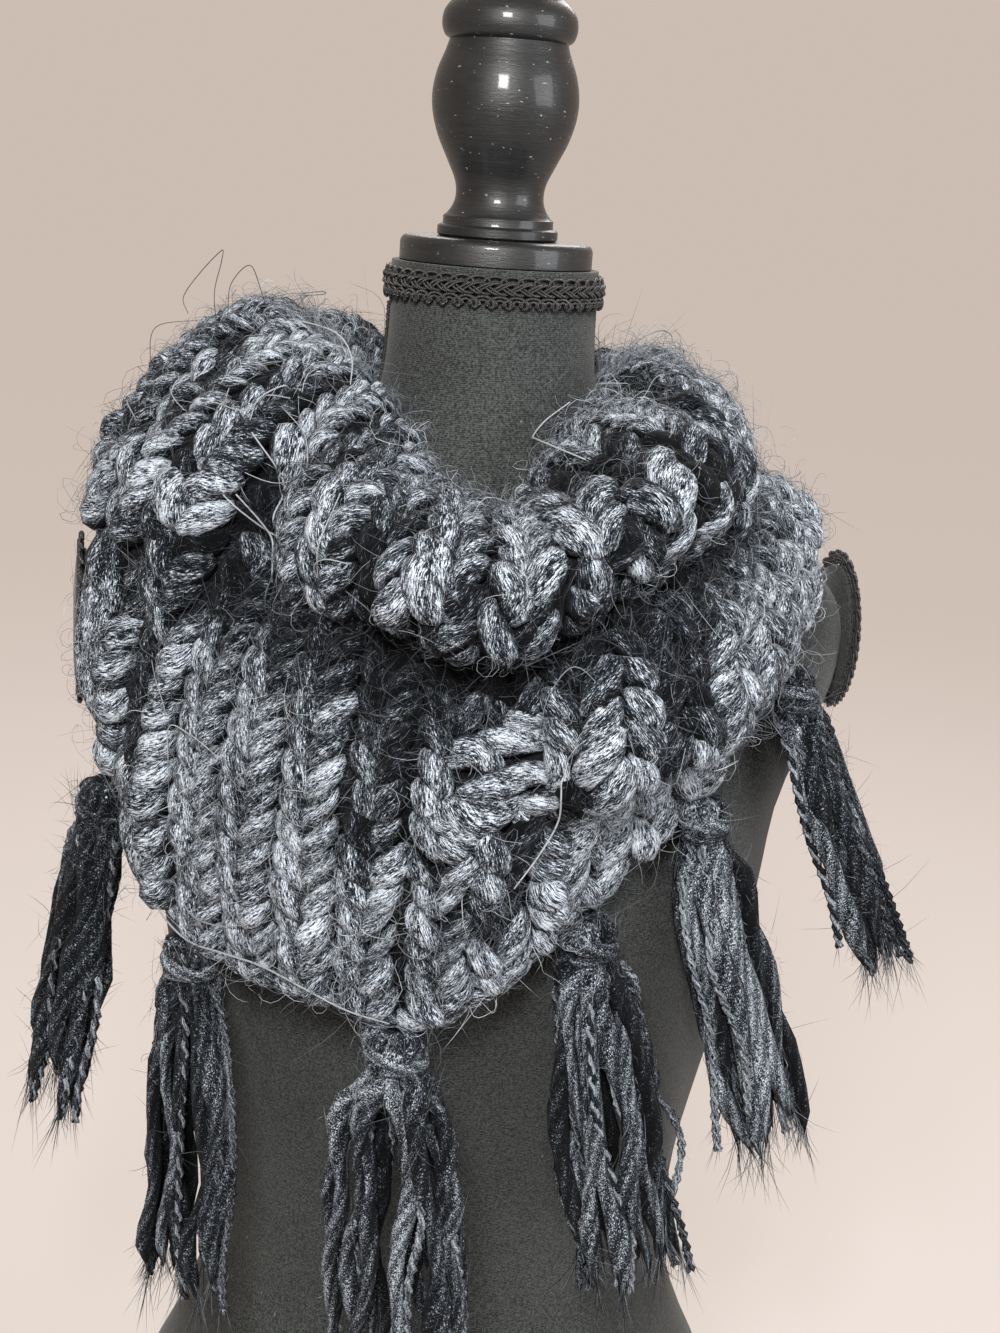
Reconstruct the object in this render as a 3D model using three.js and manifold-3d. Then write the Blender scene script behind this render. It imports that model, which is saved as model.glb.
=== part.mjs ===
// A chunky hand-knit cowl scarf with a tasselled hem, worn on a limbless dress form.
// Millimetres, +Z up. The origin is the middle of the form's underside and -Y is its front.
// An azimuth is in degrees from the front, positive towards +X.
import * as THREE from "three";
import { mergeVertices } from "three/addons/utils/BufferGeometryUtils.js";
import Module from "manifold-3d";

const wasm = await Module();
wasm.setup();

// ---- Driving sizes ----
const CLEARANCE = 0.3; // between pieces that touch
const SEAT = 0.9; // the cloth's least clearance over the form, which its facets eat into
const MERGE = 1e-3; // vertices closer than this are one

const BASE_BOARD = { height: 12, halfWidth: 166, halfDepth: 112 };
const ARM_PLANE_X = 191; // the flat armhole on each side of the form
const ARM_PLATE = { z: 538, halfHeight: 34, halfWidth: 27, thickness: 6, chamfer: 0.06 };
const ARM_TRIM = { gap: 0.45, width: 4.55, loop: 1.6, thickness: 4.8, columns: 36 };
const NECK_TOP = { z: 716, radius: 50 };
const NECK_TRIM = { low: 697, high: 714, thickness: 1.6, bead: 1, loop: 3, loops: 24 };
const NECK_DISC = { radius: 46.5, height: 12, edge: [1.5, 3] };

const WALES = 36; // columns of stitches round the scarf
const WALL = 8; // thickness of the knitted wall between its ribs
const RIB = 4; // height of a stitch column over the wall
const STRANDS_PER_TASSEL = 10;
const STRAND_RADIUS = 4.2;
const STRAND_TRIMS = [0, 0.135, 0.09, 0.045]; // shares that neighbouring strands are cut short by
// The head's upper and lower outlines: share of its half width, and share of its height down.
const TASSEL_HEAD = {
  halfWidth: 17,
  halfDepth: 11.5,
  height: 33,
  outside: 2, // how far the head hangs outside the hem's middle
  shoulders: [
    [0.3, 0],
    [0.8, 0.18],
    [1, 0.5],
  ],
  underside: [
    [0, 1],
    [0.62, 0.8],
  ],
};

// ---- Colours ----
const COLOURS = {
  yarn: { color: 0x4a4e58, roughness: 0.95, metalness: 0 },
  fabric: { color: 0x232524, roughness: 0.9, metalness: 0 },
  braid: { color: 0x141414, roughness: 0.85, metalness: 0 },
  paintedWood: { color: 0x2c2e30, roughness: 0.45, metalness: 0 },
};

// The form's level sections. `forward` moves a section's middle towards the front.
const FORM_SECTIONS = [
  { z: 12.3, halfWidth: 172, halfDepth: 118, forward: 0 },
  { z: 60, halfWidth: 169, halfDepth: 117, forward: 0 },
  { z: 110, halfWidth: 158, halfDepth: 109, forward: 0 },
  { z: 160, halfWidth: 136, halfDepth: 96, forward: 2 },
  { z: 205, halfWidth: 124, halfDepth: 88, forward: 4 },
  { z: 255, halfWidth: 127, halfDepth: 90, forward: 6 },
  { z: 310, halfWidth: 136, halfDepth: 98, forward: 9 },
  { z: 360, halfWidth: 146, halfDepth: 107, forward: 12 },
  { z: 410, halfWidth: 154, halfDepth: 114, forward: 14 },
  { z: 455, halfWidth: 161, halfDepth: 112, forward: 12 },
  { z: 500, halfWidth: 184, halfDepth: 94, forward: 6 },
  { z: 520, halfWidth: 193, halfDepth: 84.5, forward: 3 },
  { z: 540, halfWidth: 196, halfDepth: 81, forward: 0 },
  { z: 556, halfWidth: 191, halfDepth: 77, forward: -1 },
  { z: 572, halfWidth: 176, halfDepth: 74, forward: -2 },
  { z: 584, halfWidth: 157, halfDepth: 72, forward: -3 },
  { z: 597, halfWidth: 137, halfDepth: 70, forward: -3 },
  { z: 610, halfWidth: 115, halfDepth: 68, forward: -3 },
  { z: 622, halfWidth: 94, halfDepth: 65, forward: -2 },
  { z: 634, halfWidth: 74, halfDepth: 61, forward: -1 },
  { z: 647, halfWidth: 59, halfDepth: 56, forward: 0 },
  { z: 664, halfWidth: 52, halfDepth: 52, forward: 0 },
  { z: 688, halfWidth: 50.4, halfDepth: 50.4, forward: 0 },
  { z: NECK_TOP.z, halfWidth: NECK_TOP.radius, halfDepth: NECK_TOP.radius, forward: 0 },
];

// The finial's turned profile over the neck disc: radius, and height over the disc's top.
const FINIAL_PROFILE = [
  [0, 0],
  [29, 0],
  [29, 5],
  [26.5, 7],
  [26.5, 10],
  [22.5, 14],
  [21, 19],
  [22, 26],
  [26.5, 35],
  [31.5, 46],
  [34.5, 57],
  [34.8, 66],
  [33, 76],
  [29.5, 86],
  [28, 90],
  [31, 93],
  [32, 98],
  [31, 104],
  [26, 109],
  [22.5, 114],
  [22, 124],
  [19.5, 136],
  [13, 146],
  [6, 151],
  [0, 153],
];

// The scarf's upright sections, all round. Each is the middle of the wall: radius and height at
// the edge by the neck, the crest, the brow and belly of the upper roll, its lip, the valley
// behind the lip, the chest, the lower fold, the tuck under that fold, and the hem.
const SCARF_POINTS = ["edge", "crest", "brow", "belly", "lip", "valley", "chest", "fold", "tuck", "hem"];
const ROWS_BETWEEN_POINTS = [1, 2, 3, 2, 2, 2, 3, 3, 3];
const SEAM_POINT = "valley"; // the roll and the bib part here, out of sight
const SCARF_SECTIONS = [
  { deg: -158, edge: [69, 626], crest: [84, 671], brow: [102, 669], belly: [122, 648], lip: [126, 622],
    valley: [122, 610], chest: [124, 596], fold: [132, 578], tuck: [136, 564], hem: [138, 552] },
  { deg: -133, edge: [71, 632], crest: [92, 681], brow: [115, 681], belly: [142, 660], lip: [154, 634],
    valley: [152, 614], chest: [162, 600], fold: [168, 588], tuck: [170, 577], hem: [171, 569] },
  { deg: -118, edge: [71, 636], crest: [98, 686], brow: [124, 685], belly: [154, 660], lip: [168, 636],
    valley: [174, 618], chest: [180, 606], fold: [184, 596], tuck: [186, 588], hem: [187, 580] },
  { deg: -101, edge: [70, 639], crest: [98, 686], brow: [124, 684], belly: [154, 658], lip: [168, 637],
    valley: [174, 626], chest: [178, 620], fold: [180, 615], tuck: [181, 610], hem: [182, 605] },
  { deg: -84, edge: [68, 640], crest: [92, 680], brow: [120, 678], belly: [152, 652], lip: [171, 624],
    valley: [177, 606], chest: [181, 600], fold: [182, 596], tuck: [182, 592], hem: [182, 588] },
  { deg: -79, edge: [67, 640], crest: [90, 678], brow: [118, 675], belly: [150, 651], lip: [172, 620],
    valley: [180, 596], chest: [187, 578], fold: [188.5, 563], tuck: [188.5, 549], hem: [188.5, 534] },
  { deg: -74, edge: [66, 640], crest: [88, 674], brow: [116, 671], belly: [148, 647], lip: [171, 615],
    valley: [179, 586], chest: [185, 558], fold: [186, 531], tuck: [185, 506], hem: [181, 480] },
  { deg: -65, edge: [65, 638], crest: [84, 668], brow: [111, 663], belly: [143, 640], lip: [166, 608],
    valley: [175, 578], chest: [178, 546], fold: [179, 512], tuck: [176, 470], hem: [169, 426] },
  { deg: -54, edge: [64, 637], crest: [78, 657], brow: [101, 650], belly: [120, 626], lip: [134, 599],
    valley: [149, 569], chest: [163, 539], fold: [173, 502], tuck: [174, 455], hem: [166, 408] },
  { deg: -42, edge: [68, 629], crest: [77, 643], brow: [106, 641], belly: [142, 620], lip: [150, 591],
    valley: [147, 567], chest: [160, 538], fold: [170, 500], tuck: [171, 450], hem: [164, 401] },
  { deg: -30, edge: [73, 600], crest: [82, 627], brow: [115, 630], belly: [163, 608], lip: [168, 581],
    valley: [145, 565], chest: [157, 538], fold: [168, 500], tuck: [170, 450], hem: [163, 399] },
  { deg: -19, edge: [77, 582], crest: [87, 614], brow: [122, 621], belly: [173, 600], lip: [173, 573],
    valley: [144, 560], chest: [155, 537], fold: [168, 499], tuck: [168, 450], hem: [160, 391] },
  { deg: -8, edge: [80, 568], crest: [90, 607], brow: [128, 613], belly: [181, 592], lip: [177, 567],
    valley: [144, 557], chest: [154, 536], fold: [167, 498], tuck: [166, 452], hem: [156, 404] },
  { deg: 10, edge: [70, 590], crest: [74, 630], brow: [112, 640], belly: [174, 622], lip: [170, 600],
    valley: [143, 582], chest: [161, 562], fold: [178, 512], tuck: [148, 500], hem: [142, 438] },
  { deg: 27, edge: [63, 630], crest: [66, 652], brow: [100, 660], belly: [156, 638], lip: [152, 611],
    valley: [137, 597], chest: [157, 581], fold: [175, 526], tuck: [143, 511], hem: [141, 472] },
  { deg: 44, edge: [61, 641], crest: [68, 667], brow: [94, 670], belly: [136, 646], lip: [140, 613],
    valley: [130, 600], chest: [150, 583], fold: [165, 555], tuck: [146, 540], hem: [147, 514] },
  { deg: 60, edge: [62, 643], crest: [74, 674], brow: [96, 673], belly: [122, 651], lip: [127, 623],
    valley: [125, 610], chest: [143, 598], fold: [158, 576], tuck: [158, 560], hem: [157, 547] },
  { deg: 82, edge: [65, 642], crest: [78, 675], brow: [98, 672], belly: [117, 651], lip: [122, 635],
    valley: [124, 624], chest: [140, 617], fold: [154, 610], tuck: [161, 606], hem: [165, 601] },
  { deg: 100, edge: [67, 640], crest: [81, 674], brow: [100, 671], belly: [119, 649], lip: [122, 628],
    valley: [123, 616], chest: [140, 609], fold: [154, 600], tuck: [162, 592], hem: [168, 584] },
  { deg: 112, edge: [68, 639], crest: [81, 673], brow: [100, 671], belly: [120, 648], lip: [124, 625],
    valley: [122, 611], chest: [138, 602], fold: [154, 592], tuck: [162, 582], hem: [168, 567] },
  { deg: 120, edge: [68, 637], crest: [82, 671], brow: [101, 669], belly: [121, 645], lip: [123, 620],
    valley: [121, 607], chest: [134, 597], fold: [148, 584], tuck: [154, 572], hem: [161, 562] },
  { deg: 147, edge: [68, 631], crest: [80, 668], brow: [98, 666], belly: [119, 642], lip: [120, 617],
    valley: [116, 605], chest: [119, 591], fold: [126, 572], tuck: [128, 559], hem: [127, 546] },
  { deg: 175, edge: [69, 619], crest: [80, 668], brow: [98, 666], belly: [118, 642], lip: [119, 617],
    valley: [116, 605], chest: [117, 591], fold: [125, 572], tuck: [128, 557], hem: [128, 545] },
];

// The largest creases, each along a straight line on the wall's middle from one place to another
// (azimuth, radius, height). The wall sinks by `depth`, and `reach` is how far that spreads.
const CREASES = [
  { from: [-81, 126, 674], to: [-92, 176, 622], depth: 8, reach: 17 },
  { from: [-57, 140, 600], to: [-68, 182, 560], depth: 8, reach: 18 },
  { from: [-27, 95, 640], to: [-27, 174, 570], depth: 7, reach: 17 },
  { from: [3, 80, 640], to: [5, 180, 596], depth: 8, reach: 18 },
  { from: [31, 78, 668], to: [35, 158, 600], depth: 7, reach: 17 },
  { from: [-62, 182, 536], to: [-50, 176, 440], depth: 6, reach: 18 },
  { from: [-12, 160, 540], to: [6, 180, 470], depth: 6, reach: 18 },
  { from: [72, 90, 686], to: [84, 128, 630], depth: 6, reach: 17 },
  { from: [118, 92, 680], to: [112, 128, 625], depth: 6, reach: 17 },
  { from: [152, 90, 674], to: [158, 126, 612], depth: 7, reach: 18 },
  { from: [200, 90, 674], to: [192, 130, 612], depth: 6, reach: 18 },
  { from: [236, 104, 690], to: [228, 160, 620], depth: 7, reach: 18 },
];

// The tassels round the hem: azimuth, length under the head's top, how far the tips lean along X
// and Y, how wide they spread, and how far the head is raised into a hollow of the hem.
const TASSELS = [
  { name: "tassel_front_centre", deg: -20, length: 182, lean: [12, 0], spread: 58, raised: 0 },
  { name: "tassel_front_right", deg: -58, length: 192, lean: [6, -4], spread: 52, raised: 0 },
  { name: "tassel_side_right", deg: -76, length: 172, lean: [-24, 4], spread: 50, raised: 1.5 },
  { name: "tassel_shoulder_right", deg: -120, length: 152, lean: [0, 6], spread: 34, raised: 0 },
  { name: "tassel_front_left", deg: 12, length: 192, lean: [38, -8], spread: 56, raised: 0 },
  { name: "tassel_side_left", deg: 36, length: 182, lean: [56, -6], spread: 52, raised: -0.2 },
  { name: "tassel_shoulder_left", deg: 59, length: 158, lean: [68, -8], spread: 50, raised: -0.2 },
  { name: "tassel_back_left", deg: 121, length: 160, lean: [6, 14], spread: 44, raised: 0 },
  { name: "tassel_back_centre_left", deg: 142, length: 160, lean: [0, 8], spread: 44, raised: 0 },
  { name: "tassel_back_centre_right", deg: 180, length: 160, lean: [0, 8], spread: 44, raised: 0 },
  { name: "tassel_back_right", deg: 213, length: 160, lean: [-4, 10], spread: 44, raised: 0.5 },
];

// ---- Helpers ----
const radians = (deg) => (deg * Math.PI) / 180;

function materialOf({ color, roughness, metalness }) {
  return new THREE.MeshStandardMaterial({ color, roughness, metalness });
}

function namedMesh(name, geometry, finish) {
  const mesh = new THREE.Mesh(geometry, materialOf(finish));
  mesh.name = name;
  return mesh;
}

function geometryOf(points, triangles) {
  const geometry = new THREE.BufferGeometry().setFromPoints(points);
  geometry.setIndex(triangles.flat());
  return geometry;
}

// Interpolates a table's row values at x, smoothly and without overshoot.
function monotoneCurve(xs, ys) {
  const slopes = xs.slice(1).map((x, i) => (ys[i + 1] - ys[i]) / (x - xs[i]));
  const tangents = xs.map((_, i) => {
    const before = slopes[Math.max(i - 1, 0)];
    const after = slopes[Math.min(i, slopes.length - 1)];
    return before * after > 0 ? (2 * before * after) / (before + after) : 0;
  });
  return (x) => {
    const last = xs.length - 2;
    const i = Math.min(Math.max(xs.findLastIndex((knot) => knot <= x), 0), last);
    const span = xs[i + 1] - xs[i];
    const t = (x - xs[i]) / span;
    const rise = ys[i + 1] - ys[i];
    const startPull = (span * tangents[i] - rise) * (1 - t);
    const endPull = (rise - span * tangents[i + 1]) * t;
    return ys[i] + rise * t + t * (1 - t) * (startPull + endPull);
  };
}

// Joins rings of points, all with the same count, into a closed skin with a flat fan at each end.
function closedLoft(rings) {
  const count = rings[0].length;
  const points = rings.flat();
  const triangles = [];
  rings.slice(1).forEach((_, r) => {
    for (let i = 0; i < count; i++) {
      const a = r * count + i;
      const b = r * count + ((i + 1) % count);
      triangles.push([a, b, b + count], [a, b + count, a + count]);
    }
  });
  const addCap = (ring, offset, flip) => {
    const middle = new THREE.Vector3();
    ring.forEach((p) => middle.addScaledVector(p, 1 / count));
    const centre = points.push(middle) - 1;
    for (let i = 0; i < count; i++) {
      const a = offset + i;
      const b = offset + ((i + 1) % count);
      triangles.push(flip ? [centre, b, a] : [centre, a, b]);
    }
  };
  addCap(rings[0], 0, true);
  addCap(rings.at(-1), (rings.length - 1) * count, false);
  return geometryOf(points, triangles);
}

function solidOf(geometry) {
  const bare = new THREE.BufferGeometry()
    .setAttribute("position", geometry.getAttribute("position"))
    .setIndex(geometry.index);
  const merged = mergeVertices(bare, MERGE);
  return new wasm.Manifold(
    new wasm.Mesh({
      numProp: 3,
      vertProperties: merged.attributes.position.array,
      triVerts: new Uint32Array(merged.index.array),
    }),
  );
}

function geometryOfSolid(solid) {
  const { vertProperties, triVerts } = solid.getMesh();
  return new THREE.BufferGeometry()
    .setAttribute("position", new THREE.BufferAttribute(vertProperties, 3))
    .setIndex(new THREE.BufferAttribute(triVerts, 1));
}

// ---- The dress form ----
const FORM_COLUMNS = 40;
const formCurve = (column) =>
  monotoneCurve(
    FORM_SECTIONS.map((row) => row.z),
    FORM_SECTIONS.map((row) => row[column]),
  );
const formHalfWidth = formCurve("halfWidth");
const formHalfDepth = formCurve("halfDepth");
const formForward = formCurve("forward");

function formPoint(deg, z) {
  const x = formHalfWidth(z) * Math.sin(radians(deg));
  const y = -formHalfDepth(z) * Math.cos(radians(deg)) - formForward(z);
  return new THREE.Vector3(THREE.MathUtils.clamp(x, -ARM_PLANE_X, ARM_PLANE_X), y, z);
}

function formTorso() {
  const rings = FORM_SECTIONS.map(({ z }) =>
    Array.from({ length: FORM_COLUMNS }, (_, i) => formPoint((i * 360) / FORM_COLUMNS, z)),
  );
  return namedMesh("form_torso", closedLoft(rings), COLOURS.fabric);
}

// Height of the form's shoulders straight under a point, or -1 beside the form.
const WIDEST_Z = 540;
const HEIGHT_TOLERANCE = 0.05;
function shoulderHeight(x, y) {
  const inside = (z) =>
    Math.hypot(x / formHalfWidth(z), (y + formForward(z)) / formHalfDepth(z)) < 1;
  let low = WIDEST_Z;
  let high = NECK_TOP.z;
  if (!inside(low)) return -1;
  while (high - low > HEIGHT_TOLERANCE) {
    const middle = (low + high) / 2;
    if (inside(middle)) low = middle;
    else high = middle;
  }
  return low;
}

function baseBoard() {
  const { height, halfWidth, halfDepth } = BASE_BOARD;
  const board = new THREE.CylinderGeometry(1, 1, height, 40);
  board.rotateX(Math.PI / 2);
  board.scale(halfWidth, halfDepth, 1);
  board.translate(0, 0, height / 2);
  return namedMesh("form_base_board", board, COLOURS.paintedWood);
}

function armPlate(side) {
  const { z, halfHeight, halfWidth, thickness, chamfer } = ARM_PLATE;
  const plate = new THREE.CylinderGeometry(1 - chamfer, 1, thickness, 28);
  plate.rotateZ(-Math.PI / 2);
  plate.scale(1, halfHeight, halfWidth);
  plate.rotateX(Math.PI / 2);
  if (side < 0) plate.rotateZ(Math.PI);
  plate.translate(side * (ARM_PLANE_X + CLEARANCE + thickness / 2), 0, z);
  return namedMesh(side < 0 ? "arm_plate_right" : "arm_plate_left", plate, COLOURS.fabric);
}

// Braid round an arm plate: a flat ring whose outer edge is scalloped by the braid's loops.
function armTrim(side) {
  const { z, halfHeight, halfWidth } = ARM_PLATE;
  const { gap, width, loop, thickness, columns } = ARM_TRIM;
  const inner = ARM_PLANE_X + CLEARANCE;
  const section = [
    { x: inner, out: gap, scallop: 0 },
    { x: inner, out: gap + width, scallop: loop },
    { x: inner + thickness, out: gap + width, scallop: loop },
    { x: inner + thickness, out: gap, scallop: 0 },
  ];
  const rings = section.map(({ x, out, scallop }) =>
    Array.from({ length: columns }, (_, i) => {
      const angle = (i * 2 * Math.PI) / columns;
      const reach = out + (i % 2) * scallop;
      const y = side * (halfWidth + reach) * Math.cos(angle);
      return new THREE.Vector3(side * x, y, z + (halfHeight + reach) * Math.sin(angle));
    }),
  );
  return namedMesh(side < 0 ? "arm_trim_right" : "arm_trim_left", closedRing(rings), COLOURS.braid);
}

// Joins rings of points into a closed ring-shaped skin: the last ring meets the first.
function closedRing(rings) {
  const count = rings[0].length;
  const triangles = [];
  rings.forEach((_, r) => {
    const next = (r + 1) % rings.length;
    for (let i = 0; i < count; i++) {
      const j = (i + 1) % count;
      triangles.push(
        [r * count + i, r * count + j, next * count + j],
        [r * count + i, next * count + j, next * count + i],
      );
    }
  });
  return geometryOf(rings.flat(), triangles);
}

// Braid round the neck: a band with a scalloped lower edge and a bead along each edge.
function neckTrim() {
  const { low, high, thickness, bead, loop, loops } = NECK_TRIM;
  const inner = NECK_TOP.radius + 2 * CLEARANCE;
  const columns = 2 * loops;
  const section = [
    { radius: inner, z: low, scallop: 0 },
    { radius: inner + thickness + bead, z: low, scallop: loop },
    { radius: inner + thickness, z: (low + high) / 2, scallop: 0 },
    { radius: inner + thickness + bead, z: high, scallop: 0 },
    { radius: inner, z: high, scallop: 0 },
  ];
  const rings = section.map(({ radius, z, scallop }) =>
    Array.from({ length: columns }, (_, i) => {
      const angle = (i * 2 * Math.PI) / columns;
      const level = z - (i % 2) * scallop;
      return new THREE.Vector3(radius * Math.cos(angle), radius * Math.sin(angle), level);
    }),
  );
  return namedMesh("neck_trim", closedRing(rings), COLOURS.braid);
}

function neckDisc() {
  const { radius, height, edge } = NECK_DISC;
  const profile = [
    [0, 0],
    [radius, 0],
    [radius, height - edge[1]],
    [radius - edge[0], height],
    [0, height],
  ].map(([r, z]) => new THREE.Vector2(r, z));
  const disc = new THREE.LatheGeometry(profile, 32).rotateX(Math.PI / 2);
  disc.translate(0, 0, NECK_TOP.z + CLEARANCE);
  return namedMesh("neck_disc", disc, COLOURS.paintedWood);
}

function finial() {
  const profile = FINIAL_PROFILE.map(([r, z]) => new THREE.Vector2(r, z));
  const turned = new THREE.LatheGeometry(profile, 20).rotateX(Math.PI / 2);
  turned.translate(0, 0, NECK_TOP.z + NECK_DISC.height + 2 * CLEARANCE);
  return namedMesh("finial", turned, COLOURS.paintedWood);
}

// ---- The scarf ----
const FIRST_DEG = SCARF_SECTIONS[0].deg;
const scarfCurves = Object.fromEntries(
  SCARF_POINTS.map((name) => {
    const wrapped = [
      { ...SCARF_SECTIONS.at(-1), deg: SCARF_SECTIONS.at(-1).deg - 360 },
      ...SCARF_SECTIONS,
      { ...SCARF_SECTIONS[0], deg: SCARF_SECTIONS[0].deg + 360 },
    ];
    const degrees = wrapped.map((row) => row.deg);
    return [name, [0, 1].map((axis) => monotoneCurve(degrees, wrapped.map((row) => row[name][axis])))];
  }),
);

// The wall's middle at an azimuth: one entry a row, with its radius, height and outward normal.
function scarfProfile(deg) {
  const turn = THREE.MathUtils.euclideanModulo(deg - FIRST_DEG, 360) + FIRST_DEG;
  const knots = SCARF_POINTS.map((name) => {
    const [radius, height] = scarfCurves[name];
    return new THREE.Vector3(radius(turn), height(turn), 0);
  });
  const curve = new THREE.CatmullRomCurve3(knots, false, "centripetal");
  const spans = knots.length - 1;
  const rows = [];
  ROWS_BETWEEN_POINTS.forEach((steps, span) => {
    for (let step = 0; step < steps; step++) rows.push(span + step / steps);
  });
  rows.push(spans);
  return rows.map((u) => {
    const point = curve.getPoint(u / spans);
    const tangent = curve.getTangent(u / spans);
    return { u, radius: point.x, z: point.y, out: -tangent.y, up: tangent.x };
  });
}

const COLUMNS_PER_WALE = 3;
const SCARF_COLUMNS = WALES * COLUMNS_PER_WALE;
const RIB_FADE = 0.6; // spans over which the ribs die down at the seam and at each end
const RIB_AT_END = 0.35; // share of the rib's height left there

// A place given by azimuth, radius and height.
function placeAt(deg, radius, z) {
  return new THREE.Vector3(radius * Math.sin(radians(deg)), -radius * Math.cos(radians(deg)), z);
}

const creaseLines = CREASES.map(({ from, to, depth, reach }) => {
  return { line: new THREE.Line3(placeAt(...from), placeAt(...to)), depth, reach };
});

// How far the creases sink the wall at a place on its middle.
function creaseDepth(point) {
  const nearest = new THREE.Vector3();
  return creaseLines.reduce((sum, { line, depth, reach }) => {
    line.closestPointToPoint(point, true, nearest);
    return sum + depth * Math.exp(-((nearest.distanceTo(point) / reach) ** 2));
  }, 0);
}

// The wall's point at a profile row, moved out by `offset` and kept clear of the form.
function wallPoint(deg, row, offset) {
  const rise = offset - creaseDepth(placeAt(deg, row.radius, row.z));
  const point = placeAt(deg, row.radius + rise * row.out, row.z + rise * row.up);
  const least = shoulderHeight(point.x, point.y) + SEAT + offset + WALL / 2;
  point.z = Math.max(point.z, least);
  return point;
}

// A closed wall between two rows of the profile: ribbed outside, plain inside.
function scarfWall(name, firstRow, lastRow, endShift) {
  const points = [];
  const outer = [];
  const inner = [];
  for (let column = 0; column < SCARF_COLUMNS; column++) {
    const deg = (column * 360) / SCARF_COLUMNS;
    const rows = scarfProfile(deg)
      .slice(firstRow, lastRow + 1)
      .map((row) => ({ ...row }));
    endShift(rows);
    const onRib = column % COLUMNS_PER_WALE > 0;
    const [start, end] = [rows[0].u, rows.at(-1).u];
    outer.push(
      rows.map((row) => {
        const fade = THREE.MathUtils.smoothstep(Math.min(row.u - start, end - row.u), 0, RIB_FADE);
        const rib = onRib ? RIB * THREE.MathUtils.lerp(RIB_AT_END, 1, fade) : 0;
        return points.push(wallPoint(deg, row, WALL / 2 + rib)) - 1;
      }),
    );
    if (!onRib) inner.push(rows.map((row) => points.push(wallPoint(deg, row, -WALL / 2)) - 1));
  }
  const triangles = [];
  const addSkin = (columns, flip) => {
    columns.forEach((a, i) => {
      const b = columns[(i + 1) % columns.length];
      for (let r = 0; r < a.length - 1; r++) {
        const quad = [
          [a[r], a[r + 1], b[r + 1]],
          [a[r], b[r + 1], b[r]],
        ];
        triangles.push(...quad.map(([p, q, s]) => (flip ? [p, s, q] : [p, q, s])));
      }
    });
  };
  addSkin(outer, false);
  addSkin(inner, true);
  const addRim = (row, flip) => {
    inner.forEach((column, w) => {
      const next = inner[(w + 1) % inner.length];
      const arc = Array.from(
        { length: COLUMNS_PER_WALE + 1 },
        (_, i) => outer[(w * COLUMNS_PER_WALE + i) % outer.length][row],
      );
      const fan = arc.slice(1).map((point, i) => [column[row], arc[i], point]);
      fan.push([column[row], arc.at(-1), next[row]]);
      triangles.push(...fan.map(([p, q, s]) => (flip ? [p, s, q] : [p, q, s])));
    });
  };
  addRim(0, false);
  addRim(outer[0].length - 1, true);
  return namedMesh(name, geometryOf(points, triangles), COLOURS.yarn);
}

// ---- Build ----
const profileRows = ROWS_BETWEEN_POINTS.reduce((sum, steps) => sum + steps, 0);
const seamRow = ROWS_BETWEEN_POINTS.slice(0, SCARF_POINTS.indexOf(SEAM_POINT)).reduce(
  (sum, steps) => sum + steps,
  0,
);

// Draws a row back along the profile by half the clearance at the seam.
function drawBack(row, along) {
  row.radius += along * row.up * (CLEARANCE / 2);
  row.z -= along * row.out * (CLEARANCE / 2);
}

const roll = scarfWall("scarf_roll", 0, seamRow, (rows) => drawBack(rows.at(-1), -1));
const bib = scarfWall("scarf_bib", seamRow, profileRows, (rows) => drawBack(rows[0], 1));

// Lowest point of the hem's rim over a tassel's head at an azimuth, between the wall's columns.
function rimLow(deg) {
  const step = 360 / SCARF_COLUMNS;
  const before = Math.floor(deg / step) * step;
  const { outside, halfDepth, shoulders } = TASSEL_HEAD;
  const heights = [outside - shoulders[0][0] * halfDepth, WALL / 2].map((offset) => {
    const [start, end] = [before, before + step].map(
      (column) => wallPoint(column, scarfProfile(column).at(-1), offset).z,
    );
    return THREE.MathUtils.lerp(start, end, (deg - before) / step);
  });
  return Math.min(...heights);
}

// Height at which a tassel's head just clears the hem over its whole width.
const HEAD_REACH_DEG = 5;
function headSeat(deg, radius) {
  const { halfWidth, height, shoulders } = TASSEL_HEAD;
  const steps = Array.from({ length: 2 * HEAD_REACH_DEG + 1 }, (_, i) => i - HEAD_REACH_DEG);
  const heights = steps.map((step) => {
    const across = Math.abs(radius * Math.sin(radians(step))) / halfWidth;
    const wider = shoulders.findIndex(([share]) => share >= across);
    if (wider < 0) return Infinity;
    const [share, drop] = shoulders[wider];
    const [shareBefore, dropBefore] = shoulders[wider - 1] ?? [0, 0];
    const fall = THREE.MathUtils.mapLinear(across, shareBefore, share, dropBefore, drop);
    return rimLow(deg + step) + fall * height;
  });
  return Math.min(...heights) - CLEARANCE;
}

// A strand's path inside a tassel. Its distances along and away from the hem are shares of the
// head's half width and half depth, or of the tassel's spread; its drop is a share of the head's
// height or of the strand's own length.
const STRAND_PATH = [
  { inHead: 0.45, away: 0.4, headDrop: 0.6 },
  { inHead: 1.02, away: 0.98, headDrop: 1.25 },
  { inSpread: 0.4, away: 1.25, drop: 0.55 },
  { inSpread: 0.5, away: 1.3, drop: 1 },
];

// The round bar that every strand is drawn from, as a triangle.
const strandSection = new THREE.Shape(
  [0, 1, 2].map((corner) => {
    const angle = (corner * 2 * Math.PI) / 3;
    return new THREE.Vector2(STRAND_RADIUS * Math.cos(angle), STRAND_RADIUS * Math.sin(angle));
  }),
);

function strandAlong(points) {
  const extrudePath = new THREE.CatmullRomCurve3(points);
  const options = { steps: 3, bevelEnabled: false, extrudePath };
  const strand = new THREE.ExtrudeGeometry(strandSection, options);
  const bare = new THREE.BufferGeometry();
  bare.setAttribute("position", strand.getAttribute("position"));
  return solidOf(mergeVertices(bare, MERGE));
}

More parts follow.
